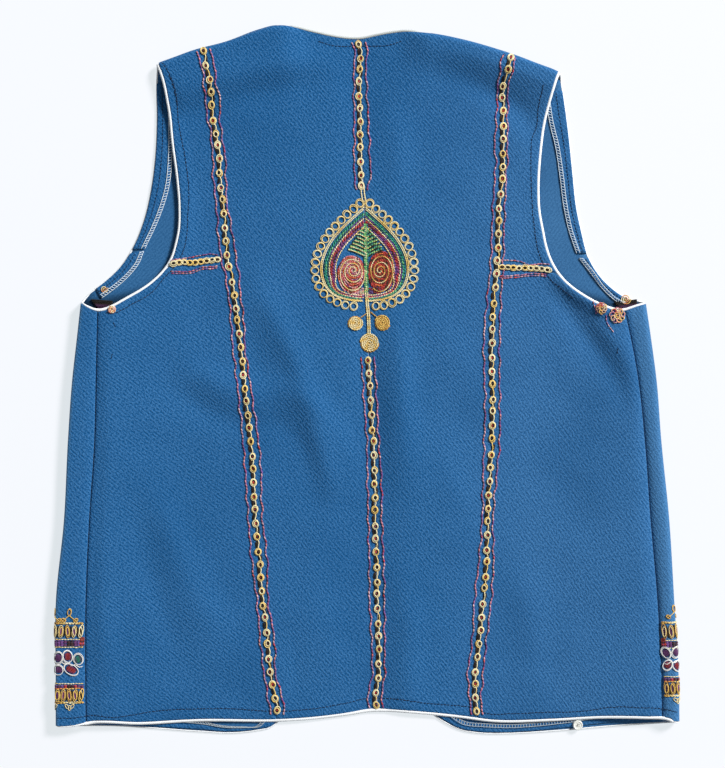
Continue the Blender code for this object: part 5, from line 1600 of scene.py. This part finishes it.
def beside(runs, side_sign, closed=False):
    """Middle line of piping beside a run of cloth edges, each given as points, normals and radii: half the
    wall's depth down, out from the edge by the radius, evened out and spaced evenly."""
    edges = np.concatenate([run[0] for run in runs])
    normals = np.concatenate([run[1] for run in runs])
    radii = np.concatenate([np.broadcast_to(run[2], len(run[0])) for run in runs])
    keep = np.append(True, np.linalg.norm(np.diff(edges, axis=0), axis=1) > 0.8)
    edges, normals, radii = edges[keep], normals[keep], radii[keep]
    if closed:
        edges, normals, radii = (np.concatenate([part, part[:1]]) for part in (edges, normals, radii))
    run = lengths(edges)
    at = np.linspace(0.0, run[-1], int(run[-1] / PIPING_STEP) + 1)
    edges = along(edges, at)
    normals = np.stack([np.interp(at, run, normals[:, i]) for i in range(3)], axis=-1)
    normals /= np.linalg.norm(normals, axis=1)[:, None]
    radii = np.interp(at, run, radii)
    if closed:
        edges, normals, radii = edges[:-1], normals[:-1], radii[:-1]
        ahead = np.roll(edges, -1, axis=0) - np.roll(edges, 1, axis=0)
    else:
        ahead = np.gradient(edges, axis=0)
    away = np.cross(ahead, normals) * side_sign
    away /= np.linalg.norm(away, axis=1)[:, None]
    line = edges - normals * 0.5 * sizes().cloth / MM + away * (0.95 * radii)[:, None]
    for _ in range(4):
        if closed:
            line = 0.5 * line + 0.25 * (np.roll(line, 1, axis=0) + np.roll(line, -1, axis=0))
        else:
            line[1:-1] = 0.5 * line[1:-1] + 0.25 * (line[:-2] + line[2:])
    line[:, 2] = np.maximum(line[:, 2], radii + FLOOR_GAP)
    return line, radii, normals


def swelling(low, full, count, power):
    """Radii of piping that comes out from under a fold: low up to its middle, then growing to full."""
    return low + (full - low) * np.clip(np.linspace(-0.9, 1.0, count), 0.0, 1.0) ** power


def cord(name, runs, side_sign, colour, sides=12, flat=0.92, closed=False):
    """Piping beside runs of cloth edges, in place of the part of that name."""
    line, radius, up = beside(runs, side_sign, closed)
    tube = strands(line[None], up, radius[None], sides, closed, flat)
    thread_piece(name + "_cord", [(tube, dye(colour))], cotton(colour + "_piping", colour), name)


class VEST_OT_back(bpy.types.Operator):
    """Makes the six panels of the back"""

    bl_idname = "vest.back"
    bl_label = "Back panels"

    def execute(self, context):
        for name, points in back_panels().items():
            flat = pattern_of(points)
            parts = [(points, flat, False)]
            piece = cloth(name, parts, sizes().cloth, "wool_twill", right_side(), wrong_side())
        return {"FINISHED"}


class VEST_OT_fronts(bpy.types.Operator):
    """Makes the two fronts, each round its side fold"""

    bl_idname = "vest.fronts"
    bl_label = "Fronts"

    def execute(self, context):
        for side in (LEFT, RIGHT):
            mirror = side == RIGHT
            grids = front_panel(side)
            flats = wrap_patterns(side, *grids)
            parts = list(zip(grids, flats, (not mirror, not mirror, mirror)))
            piece = cloth("front_" + side, parts, sizes().cloth, "wool_twill", right_side(), wrong_side())
        return {"FINISHED"}


class VEST_OT_facings(bpy.types.Operator):
    """Makes the facings on the fronts' wrong side"""

    bl_idname = "vest.facings"
    bl_label = "Facings"

    def execute(self, context):
        face = twill("facing_twill", tuple(dye("twill_low")), tuple(dye("twill_high") * 0.96), 0.00018, True)
        for name, (points, flip) in facing_strips().items():
            flat = points[..., :2]
            piece = cloth(name, [(points, flat, flip)], sizes().facing, "facing", face, wrong_side())
        return {"FINISHED"}


class VEST_OT_piping(bpy.types.Operator):
    """Makes the piping round the armholes, the hem and the neck"""

    bl_idname = "vest.piping"
    bl_label = "Piping"

    def execute(self, context):
        panels = back_panels()
        normals = {name: facing_out(points, 1.0) for name, points in panels.items()}
        full, pressed, thin = sizes().piping / MM, sizes().flat_piping / MM, sizes().neck_piping / MM
        fronts = {side: front_panel(side) for side in (LEFT, RIGHT)}
        for side, (_, upper, wrap) in fronts.items():
            rim = 0 if side == LEFT else -1
            yoke, yoke_up = panels["back_yoke_" + side], normals["back_yoke_" + side]
            body, body_up = panels["back_side_" + side][-1], normals["back_side_" + side][-1]
            outer = (body[:, 0] - yoke[0, rim, 0]) * INWARD[side] < -0.5
            order = slice(None, None, -1 if side == LEFT else 1)
            radii = swelling(pressed, full, wrap.shape[1], 1.5)
            rolled = np.full(len(upper), pressed)
            rolled[-TURN_STEPS:] = np.linspace(pressed, full, TURN_STEPS)
            runs = [
                (yoke[::-1, rim], yoke_up[::-1, rim], full),
                (body[outer][order], body_up[outer][order], full),
                (wrap[-1, ::-1], facing_out(wrap, INWARD[side])[-1, ::-1], radii[::-1]),
                (upper[:, 0], facing_out(upper, -INWARD[side])[:, 0], rolled),
            ]
            cord("piping_armhole_" + side, runs, INWARD[side], "white", closed=True)

        # along the hem; at the left it is pulled in to a thin line under the side strip
        full = HEM_PIPING_SHARE * full
        lower, _, wrap = fronts[LEFT]
        down, outwards = facing_out(lower, -1.0), facing_out(wrap, 1.0)
        runs = [
            (lower[1:3, -1][::-1], down[1:3, -1][::-1], pressed),
            (lower[0, ::-1], down[0, ::-1], pressed),
            (wrap[0], outwards[0], swelling(PULLED_IN, full, wrap.shape[1], 3)),
        ]
        for name in ("back_side_left", "back_centre_left", "back_centre_right", "back_side_right"):
            runs.append((panels[name][0], normals[name][0], full))
        lower, _, wrap = fronts[RIGHT]
        down, outwards = facing_out(lower, 1.0), facing_out(wrap, -1.0)
        runs += [
            (wrap[0, ::-1], outwards[0, ::-1], swelling(pressed, full, wrap.shape[1], 0.7)[::-1]),
            (lower[0], down[0], pressed),
            (lower[1:3, -1], down[1:3, -1], pressed),
        ]
        cord("piping_hem", runs, 1.0, "white")

        runs = []
        for name in ("back_centre_left", "back_centre_right"):
            row, up = panels[name][-1], normals[name][-1]
            free = (row[:, 0] > NECK_PIPING[0]) & (row[:, 0] < NECK_PIPING[1])
            runs.append((row[free], up[free], thin))
        cord("piping_neck", runs, -1.0, "cream", sides=10, flat=1.0)
        return {"FINISHED"}



class VEST_OT_button(bpy.types.Operator):
    """Makes the small button inside the right-hand front's hem"""

    bl_idname = "vest.button"
    bl_label = "Button"

    def execute(self, context):
        radius = sizes().button / MM
        share = np.concatenate([np.linspace(0.0, 0.86, 30), np.linspace(0.88, 1.0, 7)])
        angle = np.linspace(0.0, 2 * math.pi, 65)[:-1]
        x, y = radius * share[:, None] * np.cos(angle), radius * share[:, None] * np.sin(angle)
        # the face: a shallow well inside a rounded rim, with four round holes pressed into it
        rim = 0.45 * np.exp(-(((share - 0.80) / 0.11) ** 2))
        top = BUTTON_HEIGHT + rim - 1.2 * np.clip((share - 0.9) / 0.1, 0, 1) ** 2
        z = np.broadcast_to(top[:, None], x.shape).copy()
        for hole in range(4):
            turned = HOLE_START + hole * math.pi / 2
            away = np.hypot(x - HOLE_AWAY * math.cos(turned), y - HOLE_AWAY * math.sin(turned))
            z -= 1.3 / (1.0 + np.exp((away - HOLE_RADIUS) / 0.06))
        # the underside, rounded up at its rim
        under = share[::-1]
        low_x, low_y = radius * under[:, None] * np.cos(angle), radius * under[:, None] * np.sin(angle)
        low = np.broadcast_to((0.55 * np.clip((under - 0.8) / 0.2, 0, 1) ** 2)[:, None], low_x.shape)
        points = np.concatenate([grid(x, y, z)[1:], grid(low_x, low_y, low)[:-1]])
        rings, count = points.shape[:2]
        index = np.arange(rings * count).reshape(rings, count)
        after = np.roll(index, -1, axis=1)
        quads = np.stack([index[:-1], index[1:], after[1:], after[:-1]], axis=-1).reshape(-1, 4)
        middles = [[0, 0, z[0, 0]], [0, 0, low[-1, 0]]]
        flat = np.vstack([points.reshape(-1, 3), middles]) + (*BUTTON_AT, FACING_LIE + SEAM_GAP)
        crown, base = len(flat) - 2, len(flat) - 1
        fans = [(crown, int(a), int(b)) for a, b in zip(index[0], after[0])]
        fans += [(base, int(b), int(a)) for a, b in zip(index[-1], after[-1])]
        mesh = bpy.data.meshes.new("button_pearl")
        mesh.from_pydata(place(flat).tolist(), [], quads.tolist() + fans)
        mesh.shade_smooth()
        made, tree, surface = start_material("pearl", 0.22, Coat_Weight=0.5, Coat_Roughness=0.1)
        swirl = clouds(tree, 260.0, 4.0)
        shade = dye("pearl")
        base_colour = mix_colour(tree, swirl, tuple(shade * 0.86), tuple(np.minimum(shade * 1.1, 1.0)))
        tree.links.new(base_colour, surface.inputs["Base Color"])
        piece = new_piece("button_pearl", mesh, (made,))
        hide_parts("button")
        # two stitches side by side through each pair of holes
        share = np.linspace(-1.0, 1.0, 9)
        paths = []
        for turned in (HOLE_START, HOLE_START + math.pi / 2):
            for aside in (-0.16, 0.16):
                x = HOLE_AWAY * share * math.cos(turned) - aside * math.sin(turned) + BUTTON_AT[0]
                y = HOLE_AWAY * share * math.sin(turned) + aside * math.cos(turned) + BUTTON_AT[1]
                paths.append(grid(x, y, FACING_LIE + SEAM_GAP + 1.75 + 0.35 * np.cos(share * 1.9)))
        run = strands(np.stack(paths), UP, 0.14, sides=5)
        sewn("button_thread", [(run, dye("bright"))], "sewing_thread")
        return {"FINISHED"}


class VEST_OT_seams(bpy.types.Operator):
    """Embroiders the seams of the back: gold rings, dark braid and dashed lines"""

    bl_idname = "vest.seams"
    bl_label = "Embroidered seams"

    def execute(self, context):
        gold, colour, braid = [], [], []
        for seed, rows in enumerate(SEAM_LINES.values(), 11):
            for total, part in zip((gold, colour, braid), seam_threads(rows, 10 * seed)):
                total.extend(part)
        for seed, rows in enumerate(LEVEL_LINES.values(), 5):
            rows = np.array(rows)
            upper, middle, lower = (path(rows[:, [0, index]], step=1.0) for index in (1, 2, 3))
            long, wide, pitch = LEVEL_RING
            _, centres, headings = spaced(middle, pitch, 2.4, seed, 0.08)
            gold += looped(centres, headings, long, wide, seed, PALE, radius=0.48, height=0.75, shrink=0.28)
            looks = {"radius": 0.6, "height": 0.3, "coils": 1, "steps": 10}
            braid += looped(centres, headings, 1.2, 0.6, seed, DARKS, **looks)
            for line, shift in ((upper, 3), (lower, 4), (lower + (0.0, -1.6), 5)):
                seed_here = seed * 10 + shift
                colour.append(stitched(line, 2.9, 2.5, 0.52, REDS, seed_here, height=0.55, period=60.0))
        sewn("seam_rings", gold, "gold_thread")
        sewn("seam_dashes", colour, "silk_thread")
        sewn("seam_braid", braid, "dark_braid")
        return {"FINISHED"}



class VEST_OT_leaf(bpy.types.Operator):
    """Embroiders the leaf on the centre seam, with its border of rings, two spirals, veins and discs"""

    bl_idname = "vest.leaf"
    bl_label = "Leaf"

    def execute(self, context):
        gold, colour = [], []
        # border: small rings side by side, just outside the outline
        for seed, line in enumerate(leaf_sides(-LEAF_BORDER), 40):
            at = np.arange(0.8, lengths(line)[-1] - 3.0, LEAF_RING_PITCH)
            where = along(line, at), heading_at(line, at) + math.pi / 2
            gold += looped(*where, 3.6, 3.35, seed, PALE, radius=0.38, height=0.65, shrink=0.2, steps=20)
            colour += looped(*where, 3.3, 3.0, seed, ("braid_brown",), radius=0.4, height=0.3, coils=1)
        # outline, then rows of stitches one inside the other
        for inward, radius in ((-0.6, 0.55), (0.7, 0.45)):
            for seed, line in enumerate(leaf_sides(inward), 2):
                gold.append(corded(line, radius, PALE, seed))
        for number, (inward, dyes, radius, pitch) in enumerate(LEAF_ROWS):
            for sign, line in enumerate(leaf_sides(inward)):
                rise, seed = 0.8 if dyes is PALE else 0.5, 60 + 2 * number + sign
                run = stitched(line, pitch, pitch * 0.9, radius, dyes, seed, rise, 30.0, across=0.25)
                (gold if dyes is PALE else colour).append(run)
        # spirals: threads of several dyes wound side by side, over red and brown ones that fill the gaps
        for (x, y, radius, hand, start, drawn, shift), dyes in SPIRALS:

            def turns(number):
                begin = start - SPIRAL_OFFSET * number
                return spiral(x, y, radius, SPIRAL_TURNS, hand, begin, drawn, shift)

            for number in (0.5, 1.5, 2.5):
                colour.append(corded(turns(number), 0.85, ("red", "braid_brown"), 2, height=0.15, period=9.0))
            for number, shades in enumerate(dyes):
                if shades in (PALE, GOLD):
                    gold.append(corded(turns(number), 0.5, shades, number, height=0.85, period=21.0))
                else:
                    colour.append(stitched(turns(number), 2.1, 2.0, 0.62, shades, 80 + number, 0.5, 17.0))
        # speckled filling between the spirals and the leaf's foot
        for row in range(5):
            for sign, dyes in SPECKLES:
                x = LEAF_X + 1.2 + sign * np.linspace(1.6, 18.0 - 1.2 * row, 30)
                line = np.stack([x, 70.4 + 1.3 * row + 0.018 * (np.abs(x - LEAF_X) - 3.0) ** 2], axis=1)
                colour.append(stitched(line, 2.2, 2.0, 0.5, dyes, 70 + row, height=0.45, period=9.0))
        # stalk, stem and foot
        for shift in (-1.3, 1.3):
            gold.append(corded(path(np.array(STALK) + (shift, 0.0), step=0.8), 0.55, PALE, 3))
        for shift, dyes in STEM_THREADS:
            line = path(np.array(STEM) + (shift, 0.0), step=0.8)
            colour.append(stitched(line, 1.9, 1.8, 0.55, dyes, 4, height=0.8, period=7.0, across=0.5))
        for shift in (-1.0, 0.7):
            gold.append(corded(path(np.array(FOOT) + (shift, 0.0), step=0.8), 0.6, PALE, 5, period=8.0))
        # veins that rise outwards
        share = np.linspace(0.0, 1.0, 24)
        under = (("teal_deep", "braid", "braid"), 0.6, 0.25)
        kinds = (under, (("teal", "green"), 0.52, 0.7), (PALE, 0.5, 0.75), under)
        for vein in range(VEINS):
            y = 127.0 - 0.8 * vein
            reach = (132.8 - y) * 0.486
            dyes, radius, rise = kinds[vein % 4]
            for sign in (-1.0, 1.0):
                x = LEAF_X + 1.1 + sign * (0.6 + (reach + 1.0 * (sign < 0)) * share)
                line = np.stack([x, y + 0.42 * reach * share + 0.6 * np.sin(math.pi * share)], axis=1)
                shades = ("gold", "green", "braid_brown") if dyes is PALE and sign > 0 else dyes
                run = stitched(line, 2.0, 1.8, radius, shades, 90 + vein, height=rise, period=9.0)
                (gold if dyes is PALE else colour).append(run)
        # discs of coiled cord under the leaf, each over a deeper coil, and the cords that lead to them
        for seed, (x, y, radius, shades) in enumerate(LEAF_DISCS, 7):
            for dyes, wide, rise, start in ((shades, 0.6, 0.75, 0.0), (("gold_deep",), 0.75, 0.15, math.pi)):
                line = spiral(x, y, radius - 0.3, radius / 1.6, 1.0, seed + start)
                gold.append(corded(line, wide, dyes, seed, height=rise, period=9.0))
        for ends in DISC_CORDS:
            gold.append(corded(path(ends, step=0.8), 0.5, GOLD, 6))
        sewn("leaf_gold", gold, "gold_thread")
        sewn("leaf_colours", colour, "silk_thread")
        return {"FINISHED"}


class VEST_OT_bands(bpy.types.Operator):
    """Embroiders the bands above the hem that run round both side folds"""

    bl_idname = "vest.bands"
    bl_label = "Side bands"

    def execute(self, context):
        gold, colour, white = [], [], []
        for side, levels in BANDS.items():
            seam, fold = side_seam_of[side](levels[3]), fold_of[side](levels[3])
            reach = abs(float(fold - seam)) + 0.9 * FOLD_RADIUS
            random = np.random.default_rng(len(side))

            def around(flat, height, radius, closed=False):
                points, up = round_fold(side, flat[..., 0], flat[..., 1], height)
                return strands(points, up, radius, closed=closed)

            def ring(flat, rise, radius):
                return around(flat, rise, radius, closed=True)

            def loop(x, y, tilt, long, wide, seed, dyes, radius=0.33, **looks):
                where = np.array([[x, y]]), np.array([tilt])
                return looped(*where, long, wide, seed, dyes, radius, place_on=ring, **looks)

            def row(y, dyes, radius, pitch, into, height=0.45):
                centres = np.arange(2.6, reach - pitch / 2, pitch)
                share = np.array([-0.46, -0.33, 0.0, 0.33, 0.46]) * pitch
                flat = np.stack(np.broadcast_arrays(centres[:, None] + share, y + 0.0 * share), axis=-1)
                flat = flat + random.normal(0.0, 0.12, (len(centres), 1, 2))
                rise = np.broadcast_to(height * STITCH_RISE, flat.shape[:2])
                dyed = shaded(dyes, centres / 4.0) * random.uniform(0.85, 1.12, (len(centres), 1))
                into.append((around(flat, rise, radius), dyed))

            crown, upper, upper_low, flower, lower_top, lower, drops_at = levels
            # bars: a gold line, a row of upright loops, a thin line, rows of coloured stitches, a thin line
            for top, bottom, line_at, pitch, shades in (
                (upper - 1.0, upper_low, upper, 5.6, GOLD), (lower_top, lower + 1.0, lower, 5.0, GOLD[:2]),
            ):
                centres = np.arange(3.6, reach - 2.0, pitch)
                places = np.stack([centres, np.full(len(centres), (top + bottom) / 2)], axis=1)
                upright, long = np.full(len(centres), math.pi / 2), (top - bottom) / 2 - 0.2
                looks = {"radius": 0.4, "height": 0.6, "shrink": 0.3, "place_on": ring}
                gold += looped(places, upright, long, 1.85, 31, shades, **looks)
                looks = {"radius": 0.5, "height": 0.25, "coils": 1, "place_on": ring}
                for shift, size, dyes in ((0.0, 0.6, ("purple", "braid_brown")), (pitch / 2, 0.9, DARKS)):
                    colour += looped(places + (shift, 0.0), upright, size * long, 0.5, 32, dyes, **looks)
                row(line_at, GOLD, 0.5, 2.6, gold, 0.6)
                row(line_at + 0.9, GOLD, 0.4, 2.2, gold, 0.5)
            for y in (upper_low - 1.3, upper_low - 7.9, lower_top + 4.5):
                row(y, PALE, 0.42, 2.4, gold)
            for y in upper_low - np.array([2.9, 4.1, 5.3, 6.5]):
                row(float(y), ("purple", "violet", "purple", "braid_brown"), 0.6, 2.8, colour)
            patch = np.array([(2.4, upper_low - low) for low in (0.4, 1.8, 3.2, 4.6, 6.0)])
            dyes = ("red", "braid_brown")
            colour += looped(patch, np.zeros(5), 1.7, 0.6, 3, dyes, radius=0.5, coils=1, place_on=ring)
            for y in lower_top + np.array([1.6, 2.8]):
                row(float(y), ("purple", "braid_brown", "violet", "red", "braid"), 0.6, 2.8, colour)
            row(lower_top + 0.4, ("orange", "gold"), 0.5, 2.6, gold, 0.6)
            # crown of loops above, and small drops below
            for centre in np.arange(CROWN_START, reach, CROWN_PITCH):
                for dx, dy, long, wide, tilt in CROWN_LOOPS:
                    if 0.6 < centre + dx < reach - 0.5:
                        gold += loop(centre + dx, crown - 3.0 + dy, tilt, long, wide, 17, GOLD)
                share = np.linspace(0.0, 1.0, 14)
                for sign in (-1.0, 1.0):
                    x = centre + sign * 7.0 * share
                    if 0.3 < x.min() and x.max() < reach:
                        flat = np.stack([x, crown - 5.8 - 5.6 * share**0.8], axis=-1)[None]
                        gold.append((around(flat, np.full((1, 14), 0.5), 0.36), dye("gold")))
                for dx, y in ((-2.2, drops_at + 2.2), (0.0, drops_at + 2.2 - 1.2), (2.2, drops_at + 2.2)):
                    if 0.6 < centre + dx < reach - 0.5:
                        gold += loop(centre + dx, y, 1.57 - 0.3 * dx, 2.2, 1.0, 19, GOLD, coils=1)
            # white flowers: open petals with a little colour inside, joined by a white line
            for number, (run, dy, long, wide, tilt, name) in enumerate(PETALS[side]):
                if run > reach - 1.0:
                    continue
                looks = {"radius": 0.36, "height": 0.65, "shrink": 0.09, "steps": 26}
                white += loop(run, flower + dy, tilt, long, wide, 50 + number, ("bright",), **looks)
                for aside in (-2.1, -1.1, 0.0, 1.1, 2.1):
                    share = np.linspace(-1.0, 1.0, 7)
                    half = 0.66 * long * math.sqrt(max(1.0 - (1.2 * aside / wide) ** 2, 0.05))
                    x = run + half * share * math.cos(tilt) - aside * math.sin(tilt)
                    y = flower + dy + half * share * math.sin(tilt) + aside * math.cos(tilt)
                    flat = np.stack([x, y], axis=-1)[None]
                    dyed = 0.6 * shaded((name, "purple"), 0.9 * aside)
                    colour.append((around(flat, 0.42 * np.cos(1.3 * share)[None], 0.5), dyed))
            for far in (2.0, 9.5):
                x = np.linspace(19.5, far, 14)
                y = flower - 1.5 - 0.22 * (19.5 - x) + 0.7 * np.sin(x)
                if x.max() < reach:
                    flat = np.stack([x, y], axis=-1)[None]
                    white.append((around(flat, np.full((1, 14), 0.6), 0.4), dye("bright")))
        sewn("band_gold", gold, "gold_thread")
        sewn("band_colours", colour, "silk_thread")
        sewn("band_white", white, "white_embroidery")
        return {"FINISHED"}


class VEST_OT_rosettes(bpy.types.Operator):
    """Embroiders the small rosettes at both underarms"""

    bl_idname = "vest.rosettes"
    bl_label = "Rosettes"

    def execute(self, context):
        gold, colour = [], []
        dyes = ("gold", "orange", "gold_pale")
        for seed, (x, y, radius, shades) in enumerate(ROSETTES, 21):
            line = spiral(x, y, 0.62 * radius, radius / 2.4, 1.0, seed)
            gold.append(corded(line, 0.6, dyes, seed, period=11.0))
            petals = np.arange(0.0, 2 * math.pi, 2 * math.pi / PETALS_IN_ROSETTE) + 0.4 * seed
            ring = 0.72 * radius
            flat = np.stack([x + ring * np.cos(petals), y + ring * np.sin(petals)], axis=1)
            colour += looped(flat, petals + 0.9, 0.36 * radius, 0.27 * radius, seed, shades, height=0.7)
        for seed, line in enumerate(UNDERARM_STITCHES, 3):
            colour.append(stitched(path(line, step=0.8), 2.8, 2.4, 0.4, REDS, seed, height=0.5))
        # dark binding inside the underarm corners, its dye cut to 0.3 as painted shade of the deep corners
        for ends in UNDERARM_BINDINGS_IN_SHADE:
            for row in range(6):
                line = path(ends, step=1.0)[row:] + (0.0, -1.15 * row)
                points = grid(line[:, 0], line[:, 1], FACING_LIE + 0.2 * math.sin(2.0 * row))
                dyed = 0.3 * shaded(("braid", "braid_brown", "purple"), 0.7 * row)
                colour.append((strands(points[None], UP, 0.7), dyed))
        for seed, (x, y, radius) in enumerate(INNER_ROSETTES, 31):
            line = spiral(x, y, radius, radius / 1.5, 1.0, seed)
            points = grid(line[:, 0], line[:, 1], np.full(len(line), FACING_LIE + 0.55))
            gold.append((strands(points[None], UP, 0.42), shaded(dyes, lengths(line) / 3.0)))
        sewn("rosette_gold", gold, "gold_thread")
        sewn("rosette_colours", colour, "silk_thread")
        return {"FINISHED"}


class VEST_OT_sewing(bpy.types.Operator):
    """Sews the machine stitches: rows that hold the facings, tacks, and the facings' overlocked edges"""

    bl_idname = "vest.sewing"
    bl_label = "Machine stitches"

    def execute(self, context):
        rows, rails = [], []
        for seed, line in enumerate(TOPSTITCHES.values(), 1):
            line = path(line, step=1.0)
            rows.append(stitched(line, 2.9, 2.4, 0.36, ("navy",), seed, height=0.16, wander=0.03))
        for x, y, heading in TACKS:
            turned = math.radians(heading)
            ahead = (math.cos(turned), math.sin(turned))
            line = np.array([x, y]) + np.linspace(-3.2, 3.2, 9)[:, None] * ahead
            rows.append(stitched(line, 2.4, 2.0, 0.3, ("navy",), 3, height=0.25))
        for name, (points, _) in facing_strips().items():
            edge = points[:, -1]
            if name.startswith("armhole"):
                line = 0.62 * points[:, 0] + 0.38 * edge
                at = np.arange(1.0, lengths(line)[-1] - 2.4, 2.9)[:, None] + np.linspace(0.0, 2.3, 5)
                flat = along(line, at)
                flat[..., 2] = FACING_LIE + 0.16 * STITCH_RISE
                rows.append((strands(flat, UP, 0.3), dye("navy")))
            # overlocking: a thread along the edge, another inside it, and slanting threads between the two
            inward = points[:, -2] - edge
            inward /= np.linalg.norm(inward, axis=1)[:, None]
            run = lengths(edge)
            at = np.arange(0.0, run[-1], OVERLOCK_STEP)
            inside = edge + OVERLOCK_WIDTH * inward
            outer, inner = along(edge, at), along(inside, at * lengths(inside)[-1] / run[-1])
            raised = OVERLOCK_RISE * UP
            # painted shade: the overlock under the hem is darkened
            shade = dye("overlock") * (OVERLOCK_SHADE if name.startswith("hem") else 1.0)
            for rail in (outer, inner):
                rails.append((strands((rail + raised)[None], UP, OVERLOCK_RADIUS), shade))
            share = np.linspace(0.0, 1.0, 6)[:, None]
            rungs = outer[None, :-2:2] * (1 - share)[..., None] + inner[None, 1:-1:2] * share[..., None]
            rungs = np.swapaxes(rungs, 0, 1) + raised + (0.2 * np.sin(math.pi * share) * UP)[None]
            rails.append((strands(rungs, UP, OVERLOCK_RADIUS, sides=5), shade))
        sewn("topstitching", rows, "navy_thread")
        sewn("overlocking", rails, "overlock_thread")
        return {"FINISHED"}


class VEST_OT_stage(bpy.types.Operator):
    """Makes the pale ground, the soft light and the camera"""

    bl_idname = "vest.stage"
    bl_label = "Ground, light and camera"

    def execute(self, context):
        scene = context.scene
        mesh = bpy.data.meshes.new("ground")
        square = ((-1, -1), (1, -1), (1, 1), (-1, 1))
        corners = [(x * GROUND_HALF, y * GROUND_HALF, GROUND_LOW) for x, y in square]
        mesh.from_pydata(corners, [], [(0, 1, 2, 3)])
        floor = bpy.data.objects.new("ground", mesh)
        scene.collection.objects.link(floor)
        # a pale lit table: it glows a little, so shadows on it stay light
        made, tree, surface = start_material(
            "ground_paper", 0.9, Emission_Color=GLOW_COLOUR, Emission_Strength=GLOW_STRENGTH
        )
        shade = dye("ground")
        base = mix_colour(tree, clouds(tree, 9.0, 2.0), tuple(shade * 0.985), tuple(shade))
        tree.links.new(base, surface.inputs["Base Color"])
        mesh.materials.append(made)

        world = bpy.data.worlds.new("studio")
        world.use_nodes = True
        sky = world.node_tree.nodes["Background"]
        sky.inputs["Color"].default_value = SKY_COLOUR
        sky.inputs["Strength"].default_value = SKY_STRENGTH
        scene.world = world
        lamp = bpy.data.lights.new("window", "AREA")
        lamp.shape = "RECTANGLE"
        lamp.size, lamp.size_y = LAMP_SIZE
        lamp.energy = LAMP_POWER
        lamp.color = LAMP_COLOUR
        light = bpy.data.objects.new("window", lamp)
        light.location = LAMP_AT
        towards = -light.location
        light.rotation_euler = towards.to_track_quat("-Z", "Y").to_euler()
        scene.collection.objects.link(light)

        data = bpy.data.cameras.new("camera")
        data.sensor_width = SENSOR
        data.lens = SENSOR * sizes().camera_height / VIEW_WIDTH
        data.clip_end = 20.0
        camera = bpy.data.objects.new("camera", data)
        camera.location = (*VIEW_MIDDLE, sizes().camera_height + MEAN_HEIGHT)
        scene.collection.objects.link(camera)
        scene.camera = camera
        scene.view_settings.view_transform = "Standard"
        return {"FINISHED"}


class VEST_PT_panel(bpy.types.Panel):
    """Lists the vest's sizes, colours and pieces"""

    bl_idname = "VEST_PT_panel"
    bl_label = "Folk Vest"
    bl_space_type = "VIEW_3D"
    bl_region_type = "UI"
    bl_category = "Vest"

    def draw(self, context):
        for group in (context.scene.vest_sizes, context.scene.vest_colours):
            box = self.layout.box()
            for key in group.__annotations__:
                box.prop(group, key)
        for step in STEPS:
            self.layout.operator(step.bl_idname)


STEPS = (
    VEST_OT_stage, VEST_OT_back, VEST_OT_fronts, VEST_OT_facings, VEST_OT_piping, VEST_OT_button,
    VEST_OT_seams, VEST_OT_leaf, VEST_OT_bands, VEST_OT_rosettes, VEST_OT_sewing,
)
CLASSES = (VestSizes, VestColours, *STEPS, VEST_PT_panel)


def register():
    """Registers the settings, the operators and the panel."""
    for each in CLASSES:
        bpy.utils.register_class(each)
    bpy.types.Scene.vest_sizes = bpy.props.PointerProperty(type=VestSizes)
    bpy.types.Scene.vest_colours = bpy.props.PointerProperty(type=VestColours)


def unregister():
    """Takes them all away again."""
    del bpy.types.Scene.vest_colours
    del bpy.types.Scene.vest_sizes
    for each in reversed(CLASSES):
        bpy.utils.unregister_class(each)


def main():
    """Makes the whole vest step by step."""
    register()
    for step in STEPS:
        group, name = step.bl_idname.split(".")
        if getattr(getattr(bpy.ops, group), name)() != {"FINISHED"}:
            raise RuntimeError(step.bl_label + " could not be made")


if __name__ == "__main__":
    main()
